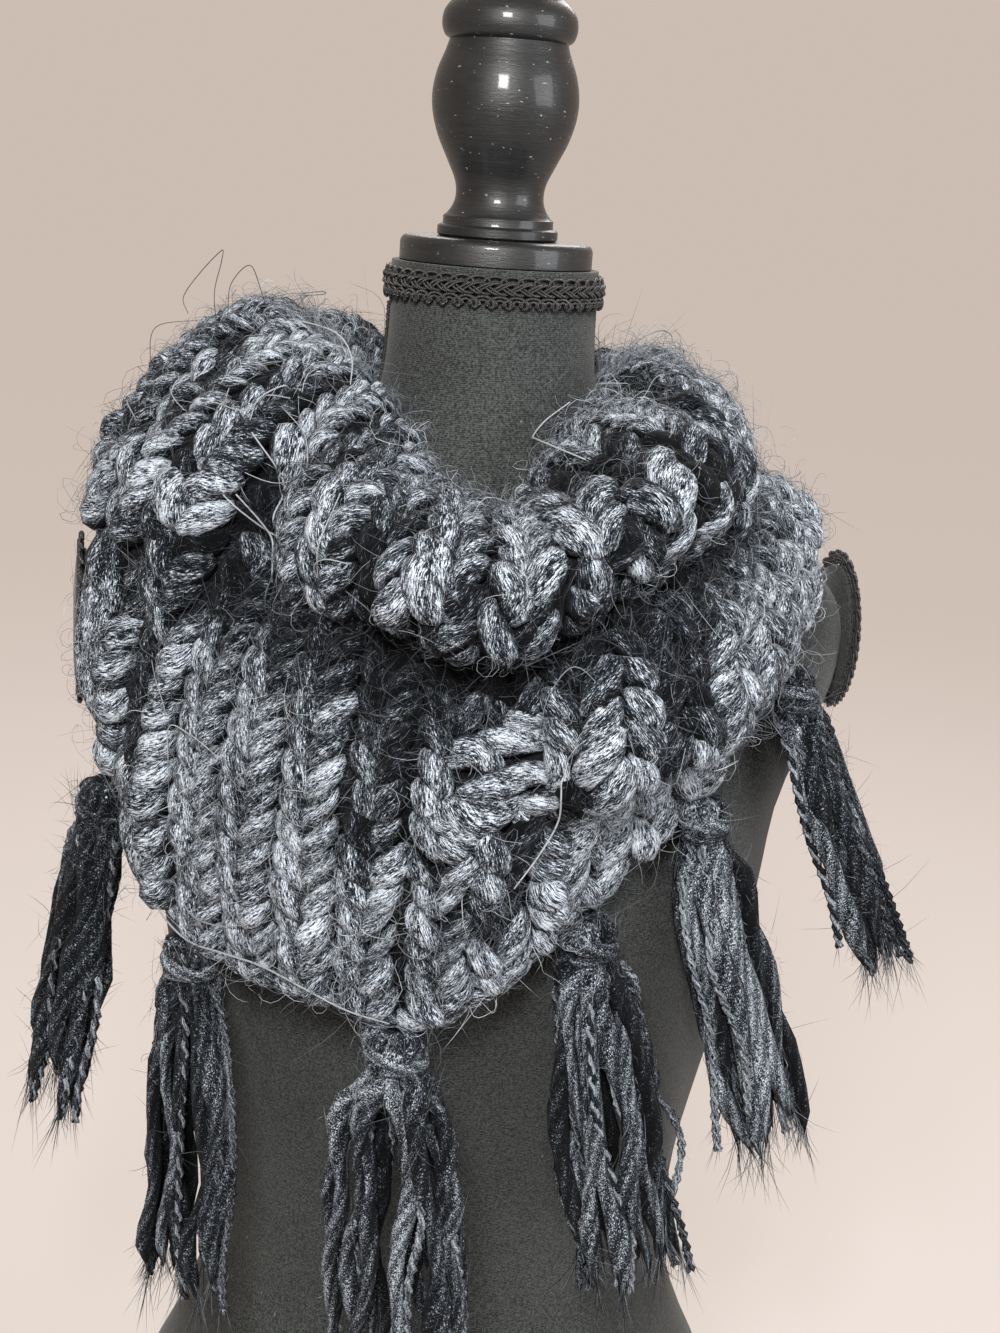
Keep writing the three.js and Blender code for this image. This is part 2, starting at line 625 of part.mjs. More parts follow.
// One tassel: a wrapped head, and strands whose roots are fused into it.
function tassel({ name, deg, length, lean, spread, raised }) {
  const { halfWidth, halfDepth, height, outside, shoulders, underside } = TASSEL_HEAD;
  const radius = scarfProfile(deg).at(-1).radius + outside;
  const top = placeAt(deg, radius, headSeat(deg, radius) + raised);
  const along = new THREE.Vector3(Math.cos(radians(deg)), Math.sin(radians(deg)), 0);
  const outward = new THREE.Vector3(Math.sin(radians(deg)), -Math.cos(radians(deg)), 0);
  const outline = [...underside, ...shoulders.toReversed(), [0, 0]];
  const headProfile = outline.map(([r, drop]) => new THREE.Vector2(r, -drop * height));
  const head = new THREE.LatheGeometry(headProfile, 8).rotateX(Math.PI / 2);
  head.scale(halfWidth, halfDepth, 1);
  head.rotateZ(radians(deg));
  head.translate(top.x, top.y, top.z);
  let solid = solidOf(head);
  for (let i = 0; i < STRANDS_PER_TASSEL; i++) {
    const angle = ((i + 0.5) * 2 * Math.PI) / STRANDS_PER_TASSEL;
    const strandLength = length * (1 - STRAND_TRIMS[i % STRAND_TRIMS.length]);
    const points = STRAND_PATH.map(({ inHead, inSpread, away, headDrop, drop }) => {
      const wide = inHead ? inHead * halfWidth : inSpread * spread;
      const fall = headDrop ? headDrop * height : drop * strandLength;
      const leaning = new THREE.Vector3(lean[0], lean[1], -length).multiplyScalar(fall / length);
      return top
        .clone()
        .addScaledVector(along, wide * Math.cos(angle))
        .addScaledVector(outward, away * halfDepth * Math.sin(angle))
        .add(leaning);
    });
    solid = solid.add(strandAlong(points));
  }
  return namedMesh(name, geometryOfSolid(solid), COLOURS.yarn);
}

const part = new THREE.Group();
part.add(baseBoard(), formTorso(), neckTrim(), neckDisc(), finial());
for (const side of [-1, 1]) part.add(armPlate(side), armTrim(side));
part.add(roll, bib, ...TASSELS.map(tassel));

export default part;
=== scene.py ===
# %% [markdown]
# # A chunky knit cowl with tassels, on a dress form
#
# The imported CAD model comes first: it is the frame that everything here is dressed onto, at its
# real size in metres. +Z is up and the form faces -Y. Each later cell makes one piece or one
# finish, and prints what it made.

# %% Load the frame
import math

import bpy
import numpy as np
from mathutils import Matrix, Vector


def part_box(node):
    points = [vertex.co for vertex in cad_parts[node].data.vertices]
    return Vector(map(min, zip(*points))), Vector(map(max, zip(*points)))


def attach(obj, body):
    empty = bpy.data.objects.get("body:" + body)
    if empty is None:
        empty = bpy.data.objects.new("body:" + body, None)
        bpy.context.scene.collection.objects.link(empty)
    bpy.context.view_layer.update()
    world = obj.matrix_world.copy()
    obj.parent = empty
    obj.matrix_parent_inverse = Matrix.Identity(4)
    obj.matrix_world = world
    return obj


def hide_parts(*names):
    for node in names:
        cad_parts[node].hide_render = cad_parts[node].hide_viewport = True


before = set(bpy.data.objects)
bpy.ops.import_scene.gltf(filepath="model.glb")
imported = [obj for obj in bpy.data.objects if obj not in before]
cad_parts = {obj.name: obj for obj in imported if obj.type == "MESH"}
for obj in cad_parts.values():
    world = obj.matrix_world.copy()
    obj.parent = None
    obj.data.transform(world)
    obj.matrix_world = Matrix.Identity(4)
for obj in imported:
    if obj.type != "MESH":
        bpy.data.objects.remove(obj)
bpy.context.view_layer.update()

MM = 0.001
print("solids in the frame:", len(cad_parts))

# %% [markdown]
# ## Camera
#
# The camera stands at a person's height close in front, a little to the wearer's right, and looks
# slightly down. It is held a few degrees out of level, so its axes are worked out from three
# angles: yaw, pitch and roll.

# %% Camera
CAMERA_PLACE = Vector((-0.196, -0.9277, 0.760))
CAMERA_YAW, CAMERA_PITCH, CAMERA_ROLL = (math.radians(a) for a in (12.84, 14.41, 3.8))
LENS_MM, SENSOR_MM = 52.0, 36.0


def add_object(name, data):
    """A new object in the scene, made from a mesh, a lamp or a camera."""
    made = bpy.data.objects.new(name, data)
    bpy.context.scene.collection.objects.link(made)
    return made


def camera_axes(yaw, pitch, roll):
    """The camera's right, up and forward directions."""
    ahead = math.cos(pitch)
    forward = Vector((math.sin(yaw) * ahead, math.cos(yaw) * ahead, -math.sin(pitch)))
    level = Vector((math.cos(yaw), -math.sin(yaw), 0))
    upright = level.cross(forward)
    right = math.cos(roll) * level + math.sin(roll) * upright
    up = -math.sin(roll) * level + math.cos(roll) * upright
    return right, up, forward


camera_data = bpy.data.cameras.new("camera")
camera_data.lens = LENS_MM
camera_data.sensor_width = SENSOR_MM
camera = add_object("camera", camera_data)
right, up, forward = camera_axes(CAMERA_YAW, CAMERA_PITCH, CAMERA_ROLL)
turned_to = Matrix((right, up, -forward)).transposed().to_4x4()
camera.matrix_world = Matrix.Translation(CAMERA_PLACE) @ turned_to
bpy.context.scene.camera = camera
print("camera at", [round(c, 3) for c in CAMERA_PLACE], "lens", LENS_MM, "mm")

# %% [markdown]
# ## Soft studio light and a pale floor
#
# Dark wool swallows light, so a large lamp from the upper left shows the stitches' roundness, a
# weaker one fills from the right, and one behind draws out the halo of loose fibres. The room's
# own light is a warm pale grey.

# %% Lights
LAMPS = [
    # name, place, size in metres, watts, colour
    ("key", (-0.38, -1.22, 1.30), 0.34, 37, (1.0, 0.99, 0.98)),
    ("fill", (1.2, -1.0, 1.1), 0.9, 21, (0.93, 0.96, 1.0)),
    ("rim", (0.4, 1.2, 1.6), 0.9, 14, (1.0, 0.98, 0.96)),
]
AIM = Vector((0, 0, 0.55))
ROOM_COLOUR, ROOM_STRENGTH = (0.66, 0.555, 0.49, 1), 0.92
for name, place, size, watts, colour in LAMPS:
    lamp = bpy.data.lights.new(name, "AREA")
    lamp.size = size
    lamp.energy = watts
    lamp.color = colour
    holder = add_object(name, lamp)
    holder.location = place
    holder.visible_camera = False
    holder.rotation_euler = (AIM - Vector(place)).to_track_quat("-Z", "Y").to_euler()
world = bpy.data.worlds.new("studio")
world.use_nodes = True
room_light = world.node_tree.nodes["Background"]
room_light.inputs["Color"].default_value = ROOM_COLOUR
room_light.inputs["Strength"].default_value = ROOM_STRENGTH
bpy.context.scene.world = world
bpy.context.scene.view_settings.view_transform = "Standard"
print("lamps:", [lamp[0] for lamp in LAMPS])

# %% [markdown]
# ## Shader arithmetic
#
# A material is a graph of nodes. Written out one link at a time it is hard to read, so `Wire`
# wraps a socket and lets `+`, `-` and `*` add the Math node that they mean, and `Paint.node`
# adds any other node from its type, its settings and its sockets. The other methods of `Paint`
# are the few groups of nodes that several finishes share.


# %% Shader helpers
class Wire:
    """A shader socket that does arithmetic."""

    def __init__(self, paint, socket):
        self.paint = paint
        self.socket = socket

    def maths(self, operation, *values):
        return self.paint.node("ShaderNodeMath", {"operation": operation}, dict(enumerate(values)))

    def sine(self):
        return self.maths("SINE", self)

    def __add__(self, other):
        return self.maths("ADD", self, other)

    def __sub__(self, other):
        return self.maths("SUBTRACT", self, other)

    def __mul__(self, other):
        return self.maths("MULTIPLY", self, other)

    __radd__ = __add__
    __rmul__ = __mul__


class Paint:
    """One material, with a method that adds any node to it."""

    def __init__(self, name, **constants):
        self.material = bpy.data.materials.new(name)
        self.material.use_nodes = True
        self.tree = self.material.node_tree
        self.shader = self.tree.nodes["Principled BSDF"]
        for word, value in constants.items():
            socket = word.replace("_", " ").title().replace("Ior", "IOR")
            self.shader.inputs[socket].default_value = value

    def node(self, kind, settings, sockets, output=0):
        made = self.tree.nodes.new(kind)
        for name, value in settings.items():
            if name == "stops":
                self.set_stops(made.color_ramp, value)
            else:
                setattr(made, name, value)
        for socket, value in sockets.items():
            if isinstance(value, Wire):
                self.tree.links.new(value.socket, made.inputs[socket])
            else:
                made.inputs[socket].default_value = value
        return Wire(self, made.outputs[output])

    @staticmethod
    def set_stops(ramp, stops):
        while len(ramp.elements) < len(stops):
            ramp.elements.new(0.5)
        for element, (position, colour) in zip(ramp.elements, stops):
            element.position = position
            element.color = (*colour, 1)

    def place(self, scale=(1, 1, 1), source="Object"):
        """Object or UV coordinates, stretched by `scale`."""
        coordinates = self.node("ShaderNodeTexCoord", {}, {}, source)
        return self.node("ShaderNodeMapping", {}, {"Vector": coordinates, "Scale": scale})

    def uv(self):
        """The two UV coordinates, each as a wire of its own."""
        where = self.place(source="UV")
        return [self.node("ShaderNodeSeparateXYZ", {}, {0: where}, axis) for axis in (0, 1)]

    def tone(self):
        """The shade that each point of a yarn or a hair carries: its own random shade, with painted shade
        added in.
        """
        return self.node("ShaderNodeAttribute", {"attribute_name": "tone"}, {}, "Fac")

    def noise(self, where, scale, detail, roughness=0.6):
        sockets = {"Vector": where, "Scale": scale, "Detail": detail, "Roughness": roughness}
        return self.node("ShaderNodeTexNoise", {}, sockets, "Fac")

    def streaks(self, across, along, roughness):
        """Noise whose scale across the yarn differs from its scale along it."""
        where = self.node("ShaderNodeCombineXYZ", {}, {0: across, 1: along})
        return self.noise(where, 1.0, 3.0, roughness)

    def ramp(self, value, stops):
        return self.node("ShaderNodeValToRGB", {"stops": stops}, {"Fac": value}, "Color")

    def blend(self, share, first, second):
        sockets = {"Factor": share, 6: first, 7: second}
        return self.node("ShaderNodeMix", {"data_type": "RGBA"}, sockets, 2)

    def feed(self, socket, wire):
        self.tree.links.new(wire.socket, self.shader.inputs[socket])

    def bump(self, height, distance, strength=1.0):
        sockets = {"Height": height, "Distance": distance, "Strength": strength}
        self.feed("Normal", self.node("ShaderNodeBump", {}, sockets, "Normal"))


print("shader helpers ready")

# %% [markdown]
# The floor sends back a share of the room's light and gives out the rest itself. Far away it then
# has the room's own colour, so no horizon shows, and near the form it still takes a soft shadow.

# %% Floor
FLOOR_SHARE = 0.24  # share of the light that the floor sends back


def deselect_all():
    if bpy.context.object and bpy.context.object.mode != "OBJECT":
        bpy.ops.object.mode_set(mode="OBJECT")
    bpy.ops.object.select_all(action="DESELECT")


floor_paint = Paint(
    "pale_floor",
    base_color=(FLOOR_SHARE, 0.238, 0.236, 1),
    roughness=0.9,
    specular_ior_level=0.0,
    emission_color=ROOM_COLOUR,
    emission_strength=round(ROOM_STRENGTH * (1 - FLOOR_SHARE), 3),
)
deselect_all()
bpy.ops.mesh.primitive_circle_add(vertices=96, radius=30, fill_type="NGON")
floor = bpy.context.object
floor.name = "floor"
floor.data.materials.append(floor_paint.material)
print("floor radius 30 m")

# %% [markdown]
# ## Finishing a piece
#
# Every piece ends the same way: it gets its finish, it rides on the part's one rigid body, and it
# says which plain solid it replaces.

# %% Helpers for pieces
def finish_piece(piece, name, paint, replaces=()):
    """Names a piece, paints it and ties it to the frame."""
    piece.name = name
    piece.data.name = name
    piece.data.materials.clear()
    piece.data.materials.append(paint.material)
    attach(piece, "root")
    for node in replaces:
        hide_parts(node)
    faces = sum(len(face.vertices) - 2 for face in piece.data.polygons)
    print(f"{name}: {faces} triangles")
    return piece


def select_only(piece):
    deselect_all()
    piece.select_set(True)
    bpy.context.view_layer.objects.active = piece


def settle(piece):
    """Puts a piece's place, turn and size into its mesh."""
    select_only(piece)
    bpy.ops.object.transform_apply(location=True, rotation=True, scale=True)


def smooth_by_angle(piece, degrees):
    select_only(piece)
    bpy.ops.object.shade_smooth_by_angle(angle=math.radians(degrees))


print("helpers ready")

# %% [markdown]
# ## The dress form's cover
#
# The real form is a padded shell covered with thin black cloth pulled smooth. A skin like that
# can be sculpted, or cut from a plane, but drawing up one ring through measured sections is the
# surest way: each section is an oval of known width and depth, and the ring is extruded, moved
# and resized from one to the next.

# %% The form's skin
FORM_SECTIONS = [
    # height, half width, half depth, how far the middle stands forward (mm)
    (12.3, 172, 118, 0),
    (60, 169, 117, 0),
    (110, 158, 109, 0),
    (160, 136, 96, 2),
    (205, 124, 88, 4),
    (255, 127, 90, 6),
    (310, 136, 98, 9),
    (360, 146, 107, 12),
    (410, 154, 114, 14),
    (455, 161, 112, 12),
    (500, 184, 94, 6),
    (520, 193, 84.5, 3),
    (540, 196, 81, 0),
    (556, 191, 77, -1),
    (572, 176, 74, -2),
    (584, 157, 72, -3),
    (597, 137, 70, -3),
    (610, 115, 68, -3),
    (622, 94, 65, -2),
    (634, 74, 61, -1),
    (647, 59, 56, 0),
    (664, 52, 52, 0),
    (688, 50.4, 50.4, 0),
    (716, 50, 50, 0),
]
ARM_PLANE = 191 * MM
FORM_RING = 96  # points round the skin
FORM_STEPS = 3  # rings from one section to the next


def smooth_table(heights, values):
    """Returns a function that runs smoothly through a table, without overshoot."""
    xs, ys = np.asarray(heights, float), np.asarray(values, float)
    slopes = np.diff(ys) / np.diff(xs)
    before, after = np.append(slopes[0], slopes), np.append(slopes, slopes[-1])
    product = before * after
    total = np.where(product > 0, before + after, 1)
    tangents = np.where(product > 0, 2 * product / total, 0)

    def value_at(x):
        x = np.asarray(x, float)
        i = np.clip(np.searchsorted(xs, x, side="right") - 1, 0, len(xs) - 2)
        span, rise = xs[i + 1] - xs[i], ys[i + 1] - ys[i]
        t = (x - xs[i]) / span
        start_pull = (span * tangents[i] - rise) * (1 - t)
        end_pull = (rise - span * tangents[i + 1]) * t
        return ys[i] + rise * t + t * (1 - t) * (start_pull + end_pull)

    return value_at


form_heights, *form_columns = (np.array(FORM_SECTIONS) * MM).T
half_width, half_depth, forward_of = (smooth_table(form_heights, column) for column in form_columns)


def ring_levels():
    """Heights of the skin's rings: the sections, and steps between them."""
    levels = [form_heights[0]]
    for low, high in zip(form_heights, form_heights[1:]):
        levels += [low + (high - low) * (step + 1) / FORM_STEPS for step in range(FORM_STEPS)]
    return levels


deselect_all()
levels = ring_levels()
bpy.ops.mesh.primitive_circle_add(vertices=FORM_RING, radius=1, fill_type="NGON")
skin = bpy.context.object
bpy.ops.object.mode_set(mode="EDIT")
bpy.ops.mesh.select_all(action="SELECT")
last = (1.0, 1.0, 0.0, 0.0)
for number, level in enumerate(levels):
    ring = (float(half_width(level)), float(half_depth(level)), float(-forward_of(level)), level)
    if number:
        bpy.ops.mesh.extrude_region_move()
    growth = (ring[0] / last[0], ring[1] / last[1], 1)
    bpy.ops.transform.resize(value=growth, center_override=(0, *last[2:]))
    bpy.ops.transform.translate(value=(0, ring[2] - last[2], ring[3] - last[3]))
    last = ring
bpy.ops.object.mode_set(mode="OBJECT")
print("skin rings:", len(levels))

# %% [markdown]
# The armholes of a dress form are flat, so the skin is cut through there with two upright planes,
# and the cuts are filled. Then its faces are turned to point outwards.

# %% Flat armholes
bpy.ops.object.mode_set(mode="EDIT")
for side in (-1, 1):
    bpy.ops.mesh.select_all(action="SELECT")
    bpy.ops.mesh.bisect(
        plane_co=(side * ARM_PLANE, 0, 0), plane_no=(side, 0, 0), use_fill=True, clear_outer=True
    )
bpy.ops.mesh.select_all(action="SELECT")
bpy.ops.mesh.remove_doubles(threshold=1e-5)
bpy.ops.mesh.normals_make_consistent(inside=False)
bpy.ops.object.mode_set(mode="OBJECT")
smooth_by_angle(skin, 32)

cover_paint = Paint("black_form_cover", roughness=0.86, specular_ior_level=0.3, sheen_weight=0.1)
fine_rows = cover_paint.node(
    "ShaderNodeTexWave",
    {"wave_type": "BANDS", "bands_direction": "Z", "wave_profile": "SIN"},
    {"Vector": cover_paint.place(), "Scale": 330.0, "Distortion": 1.2, "Detail": 2.0, "Detail Scale": 6.0},
    "Fac",
)
cover_grain = cover_paint.noise(cover_paint.place(), 900.0, 2.0)
cover_cloud = cover_paint.noise(cover_paint.place(), 14.0, 4.0)
lint = cover_paint.ramp(
    cover_paint.noise(cover_paint.place((1, 1, 0.45)), 420.0, 1.0, 0.4),
    [(0.78, (0, 0, 0)), (0.82, (1, 1, 1))],
)
cover_tone = cover_paint.ramp(
    0.12 * fine_rows + 0.74 * cover_grain + 0.14 * cover_cloud,
    [(0.40, (0.003, 0.004, 0.004)), (0.62, (0.044, 0.049, 0.047))],
)
cover_paint.feed("Base Color", cover_paint.blend(lint, cover_tone, (0.10, 0.10, 0.095, 1)))
cover_paint.bump(0.25 * fine_rows + 0.75 * cover_grain, 0.0004, 0.5)
finish_piece(skin, "form_cover", cover_paint, ["form_torso"])

# %% [markdown]
# ## Turned and painted wood
#
# The finial was turned on a lathe. Blender's spin does the same: half of the outline is drawn
# once in the edge's plane, and carried round the axis. The mouldings at its foot keep their sharp
# corners; the bulb above them is one smooth curve.

# %% Smooth curves through points
def smooth_path(points, per_span):
    """Points on a centripetal Catmull-Rom curve: paths x points x axes, or points x axes."""
    knots = np.asarray(points, float)
    single = knots.ndim == 2
    knots = knots[None] if single else knots
    first = 2 * knots[:, :1] - knots[:, 1:2]
    final = 2 * knots[:, -1:] - knots[:, -2:-1]
    knots = np.concatenate([first, knots, final], 1)
    gaps = np.linalg.norm(np.diff(knots, axis=1), axis=2, keepdims=True) ** 0.5
    a, b, c, d = knots[:, :-3], knots[:, 1:-2], knots[:, 2:-1], knots[:, 3:]
    ga, gb, gc = gaps[:, :-2], gaps[:, 1:-1], gaps[:, 2:]
    pull_in = ((b - a) / ga - (c - a) / (ga + gb) + (c - b) / gb) * gb
    pull_out = ((c - b) / gb - (d - b) / (gb + gc) + (d - c) / gc) * gb
    t = (np.arange(per_span) / per_span)[None, None, :, None]
    b, c, pull_in, pull_out = (x[:, :, None] for x in (b, c, pull_in, pull_out))
    curve = b + pull_in * t + (3 * (c - b) - 2 * pull_in - pull_out) * t**2
    curve = curve + (2 * (b - c) + pull_in + pull_out) * t**3
    curve = curve.reshape(len(knots), -1, knots.shape[2])
    curve = np.concatenate([curve, knots[:, -2:-1]], 1)
    return curve[0] if single else curve


print("curves ready")

# %% Finial and neck disc
# outlines: radius, and height over the foot (mm)
FINIAL_FOOT = [
    (0, 0), (28.2, 0), (29, 0.8), (29, 4.4), (28.2, 5.2), (26.8, 5.6), (26.5, 6.4), (26.5, 9.4),
    (25, 10.4),
]
FINIAL_BULB = [
    (25, 10.4), (22.8, 13.5), (21.2, 18), (21.6, 25), (26, 35), (31.2, 46), (34.3, 57), (34.8, 66),
    (33, 76), (29.6, 85), (28, 90),
]
FINIAL_TOP = [
    (28, 90), (30.2, 91.5), (31.7, 95), (32, 98), (31.2, 102.5), (28.5, 106.5), (25.2, 109.5),
    (22.9, 114), (22.2, 124), (19.6, 136), (13.4, 146), (6.2, 151.4), (0, 153),
]
DISC_PROFILE = [
    (0, 0), (46.0, 0), (46.5, 0.5), (46.5, 8.4), (46.1, 9.8), (45.2, 11.0), (43.8, 11.8), (42, 12),
    (0, 12),
]
TURNED_STEPS = 64


def turned(name, profile, foot):
    """Spins an outline of (radius, height) pairs in millimetres round the upright axis."""
    mesh = bpy.data.meshes.new(name)
    points = [(r * MM, 0, foot + h * MM) for r, h in profile]
    mesh.from_pydata(points, [(i, i + 1) for i in range(len(points) - 1)], [])
    piece = add_object(name, mesh)
    select_only(piece)
    bpy.ops.object.mode_set(mode="EDIT")
    bpy.ops.mesh.select_all(action="SELECT")
    bpy.ops.mesh.spin(steps=TURNED_STEPS, angle=2 * math.pi, center=(0, 0, 0), axis=(0, 0, 1))
    bpy.ops.mesh.select_all(action="SELECT")
    bpy.ops.mesh.remove_doubles(threshold=2e-5)
    bpy.ops.mesh.normals_make_consistent(inside=False)
    bpy.ops.object.mode_set(mode="OBJECT")
    smooth_by_angle(piece, 38)
    return piece


wood_paint = Paint("black_painted_wood", specular_ior_level=0.35, coat_weight=0.22, coat_roughness=0.1)
around_grain = wood_paint.noise(wood_paint.place((60, 60, 620)), 1.0, 4.0, 0.65)
brush_marks = wood_paint.noise(wood_paint.place((160, 160, 1500)), 1.0, 3.0, 0.7)
paint_cloud = wood_paint.noise(wood_paint.place(), 46.0, 4.0)
scuffs = wood_paint.ramp(
    wood_paint.noise(wood_paint.place((1, 1, 2.2)), 330.0, 2.0, 0.5), [(0.70, (0, 0, 0)), (0.74, (1, 1, 1))]
)
wood_tone = wood_paint.ramp(
    0.5 * around_grain + 0.5 * paint_cloud, [(0.35, (0.002, 0.0025, 0.0025)), (0.7, (0.010, 0.011, 0.012))]
)
wood_paint.feed("Base Color", wood_paint.blend(scuffs * 0.7, wood_tone, (0.22, 0.22, 0.21, 1)))
wood_paint.feed("Roughness", 0.28 + 0.34 * brush_marks)
wood_paint.bump(0.6 * brush_marks + 0.4 * around_grain, 0.0006, 0.55)

finial_low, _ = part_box("finial")
bulb = [tuple(p) for p in smooth_path(FINIAL_BULB, 4)]
crown = [tuple(p) for p in smooth_path(FINIAL_TOP, 3)]
finial = turned("finial_turned", FINIAL_FOOT + bulb[1:] + crown[1:], finial_low.z)
finish_piece(finial, "finial_turned", wood_paint, ["finial"])

disc = turned("neck_disc_turned", DISC_PROFILE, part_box("neck_disc")[0].z)
finish_piece(disc, "neck_disc_turned", wood_paint, ["neck_disc"])

# %% [markdown]
# The base board is an oval slab with eased edges. A cylinder is scaled to the board's box and its
# two rims are bevelled.

# %% Base board
board_low, board_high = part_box("form_base_board")
deselect_all()
board_middle = (0, 0, (board_low.z + board_high.z) / 2)
bpy.ops.mesh.primitive_cylinder_add(vertices=96, radius=1, depth=1, location=board_middle)
board = bpy.context.object
board.scale = (board_high.x, board_high.y, board_high.z - board_low.z)
settle(board)
bevel = board.modifiers.new("bevel", "BEVEL")
bevel.width, bevel.segments = 1.6 * MM, 3
bevel.limit_method, bevel.angle_limit = "ANGLE", math.radians(60)
bpy.ops.object.modifier_apply(modifier="bevel")
smooth_by_angle(board, 35)
finish_piece(board, "base_board", wood_paint, ["form_base_board"])

# %% [markdown]
# ## Yarn, cord and loose fibres are swept
#
# A stitch, a cord and a loose fibre are all one shape: a round bar along a path. `swept` makes a
# whole family of them at once, each closed by a point at both ends, and `joined_piece` puts several
# families into one piece. A bar's width changes along its path, so a stitch can be plump in the
# middle. The first UV coordinate runs round each bar and the second along it, so the spun fibres
# of the material follow the yarn wherever it goes.


# %% Sweeping bars along paths
UV_LENGTH = 20.0  # millimetres of yarn to one unit of the second UV coordinate
HAIR_SIDES = 3
BLUNT = 0.7  # how far a blunt end stands past its last ring, as a share of the radius


def unit(vectors):
    return vectors / np.maximum(np.linalg.norm(vectors, axis=-1, keepdims=True), 1e-12)


def swept(paths, radii, ups, sides, flat=1.0, turn=0.0, shade=0.0, pointed=False):
    """Closed bars along `paths` (bars x rings x 3, in millimetres), `flat` times as thick as wide.

    `shade` darkens the side that is turned in to the cloth, where light hardly reaches. A
    `pointed` bar tapers to the two ends of its path, and any other has blunt ends.
    """
    tips, tangents = [paths[:, 0], paths[:, -1]], unit(np.gradient(paths, axis=1))
    if pointed:
        paths, radii, tangents = paths[:, 1:-1], radii[:, 1:-1], tangents[:, 1:-1]
    bars, rings, _ = paths.shape
    across = unit(np.cross(tangents, ups))
    outward = np.cross(across, tangents)
    angles = np.arange(sides) * 2 * math.pi / sides + turn
    wide, tall = np.cos(angles)[:, None], flat * np.sin(angles)[:, None]
    circle = wide * across[:, :, None] + tall * outward[:, :, None]
    skin = paths[:, :, None] + radii[:, :, None, None] * circle
    if not pointed:
        tips[0] = tips[0] - BLUNT * radii[:, :1] * tangents[:, 0]
        tips[1] = tips[1] + BLUNT * radii[:, -1:] * tangents[:, -1]
    points = np.concatenate([skin.reshape(bars, -1, 3), np.stack(tips, 1)], 1)
    steps = np.linalg.norm(np.diff(paths, axis=1), axis=2)
    along = np.concatenate([np.zeros((bars, 1)), np.cumsum(steps, 1)], 1) / UV_LENGTH
    ring, side = np.divmod(np.arange((rings - 1) * sides), sides)
    after = (side + 1) % sides
    rows = np.stack([ring, ring + 1, ring + 1, ring], 1)
    quads = rows * sides + np.stack([side, side, after, after], 1)
    quad_sides = np.stack([side, side, side + 1, side + 1], 1)
    side = np.arange(sides)
    after, last = (side + 1) % sides, (rings - 1) * sides
    start = np.stack([side, after, np.full(sides, rings * sides)], 1)
    finish = np.stack([last + after, last + side, np.full(sides, rings * sides + 1)], 1)
    caps = np.concatenate([start, finish])
    cap_rows = np.repeat([[0, 0, 0], [rings - 1] * 3], sides, 0)
    cap_sides = [np.stack([side + k, side + 1 - k, side + 0.5], 1) for k in (0, 1)]
    cap_sides = np.concatenate(cap_sides)
    first = (np.arange(bars) * points.shape[1])[:, None, None]
    shift = (np.arange(bars) * 0.618 % 1)[:, None, None]

    def uvs(uv_sides, uv_rows):
        around = np.broadcast_to(uv_sides / sides, (bars, *uv_sides.shape))
        return np.stack([around + shift, along[:, uv_rows] + 7 * shift], -1).reshape(-1, 2)

    return {
        "points": points.reshape(-1, 3) * MM,
        "faces": [(quads[None] + first).reshape(-1, 4), (caps[None] + first).reshape(-1, 3)],
        "uvs": [uvs(quad_sides, rows), uvs(cap_sides, cap_rows)],
        "shades": -shade * np.append(np.tile(np.clip(0.4 - np.sin(angles), 0, 1), rings), [0.6, 0.6]),
    }


def joined_piece(name, families, paint, replaces=()):
    """One finished piece from (family of bars, shade of each bar) pairs."""
    points, loops, totals, uvs, shades, base = [], [], [], [], [], 0
    for family, tones in families:
        points.append(family["points"])
        for faces, uv in zip(family["faces"], family["uvs"]):
            loops.append((faces + base).ravel())
            totals.append(np.full(*faces.shape))
            uvs.append(uv)
        shades.append(np.add.outer(np.asarray(tones), family["shades"]).ravel())
        base += len(family["points"])
    parts = (points, loops, totals, uvs, shades)
    points, loops, totals, uvs, shades = (np.concatenate(part) for part in parts)
    mesh = bpy.data.meshes.new(name)
    mesh.vertices.add(len(points))
    mesh.vertices.foreach_set("co", points.astype(np.float32).ravel())
    mesh.loops.add(len(loops))
    mesh.loops.foreach_set("vertex_index", loops.astype(np.int32))
    mesh.polygons.add(len(totals))
    mesh.polygons.foreach_set("loop_start", (np.cumsum(totals) - totals).astype(np.int32))
    mesh.polygons.foreach_set("use_smooth", np.ones(len(totals), bool))
    mesh.update(calc_edges=True)
    mesh.uv_layers.new(name="yarn").data.foreach_set("uv", uvs.astype(np.float32).ravel())
    tones = mesh.attributes.new("tone", "FLOAT", "POINT")
    tones.data.foreach_set("value", shades.astype(np.float32))
    return finish_piece(add_object(name, mesh), name, paint, replaces)


print("sweeping ready")

# %% [markdown]
# ## Gimp braid and the armhole plates
#
# The neck and the armholes are edged with black gimp, a braid of shiny wrapped cord. It has small
# hooked loops along its top, a plait along its middle, and bigger loops along its lower edge that
# make the scallops, with a wavy cord over them. The plait is six cords in three pairs, each pair
# slanting past one scallop before it turns back. Every cord repeats round the form, so it is one
# long path, drawn from sines and wrapped round a circle or an oval.

# %% Gimp braid
CORD_SIDES = 5
braid_paint = Paint("black_gimp", roughness=0.36, specular_ior_level=0.5)
cord_u, cord_v = braid_paint.uv()
wrapping = (6.283 * cord_u + 190.0 * cord_v).sine()
# The cord's colour follows its wraps: painted shade in the grooves between them, and a paler painted glint
# on their crests.
wrap_shade_and_glint_stops = [(0.2, (0.004, 0.004, 0.004)), (1.0, (0.045, 0.045, 0.045))]
braid_paint.feed("Base Color", braid_paint.ramp(0.5 + 0.5 * wrapping, wrap_shade_and_glint_stops))
braid_paint.bump(0.5 + 0.5 * wrapping, 0.35 * MM, 0.8)


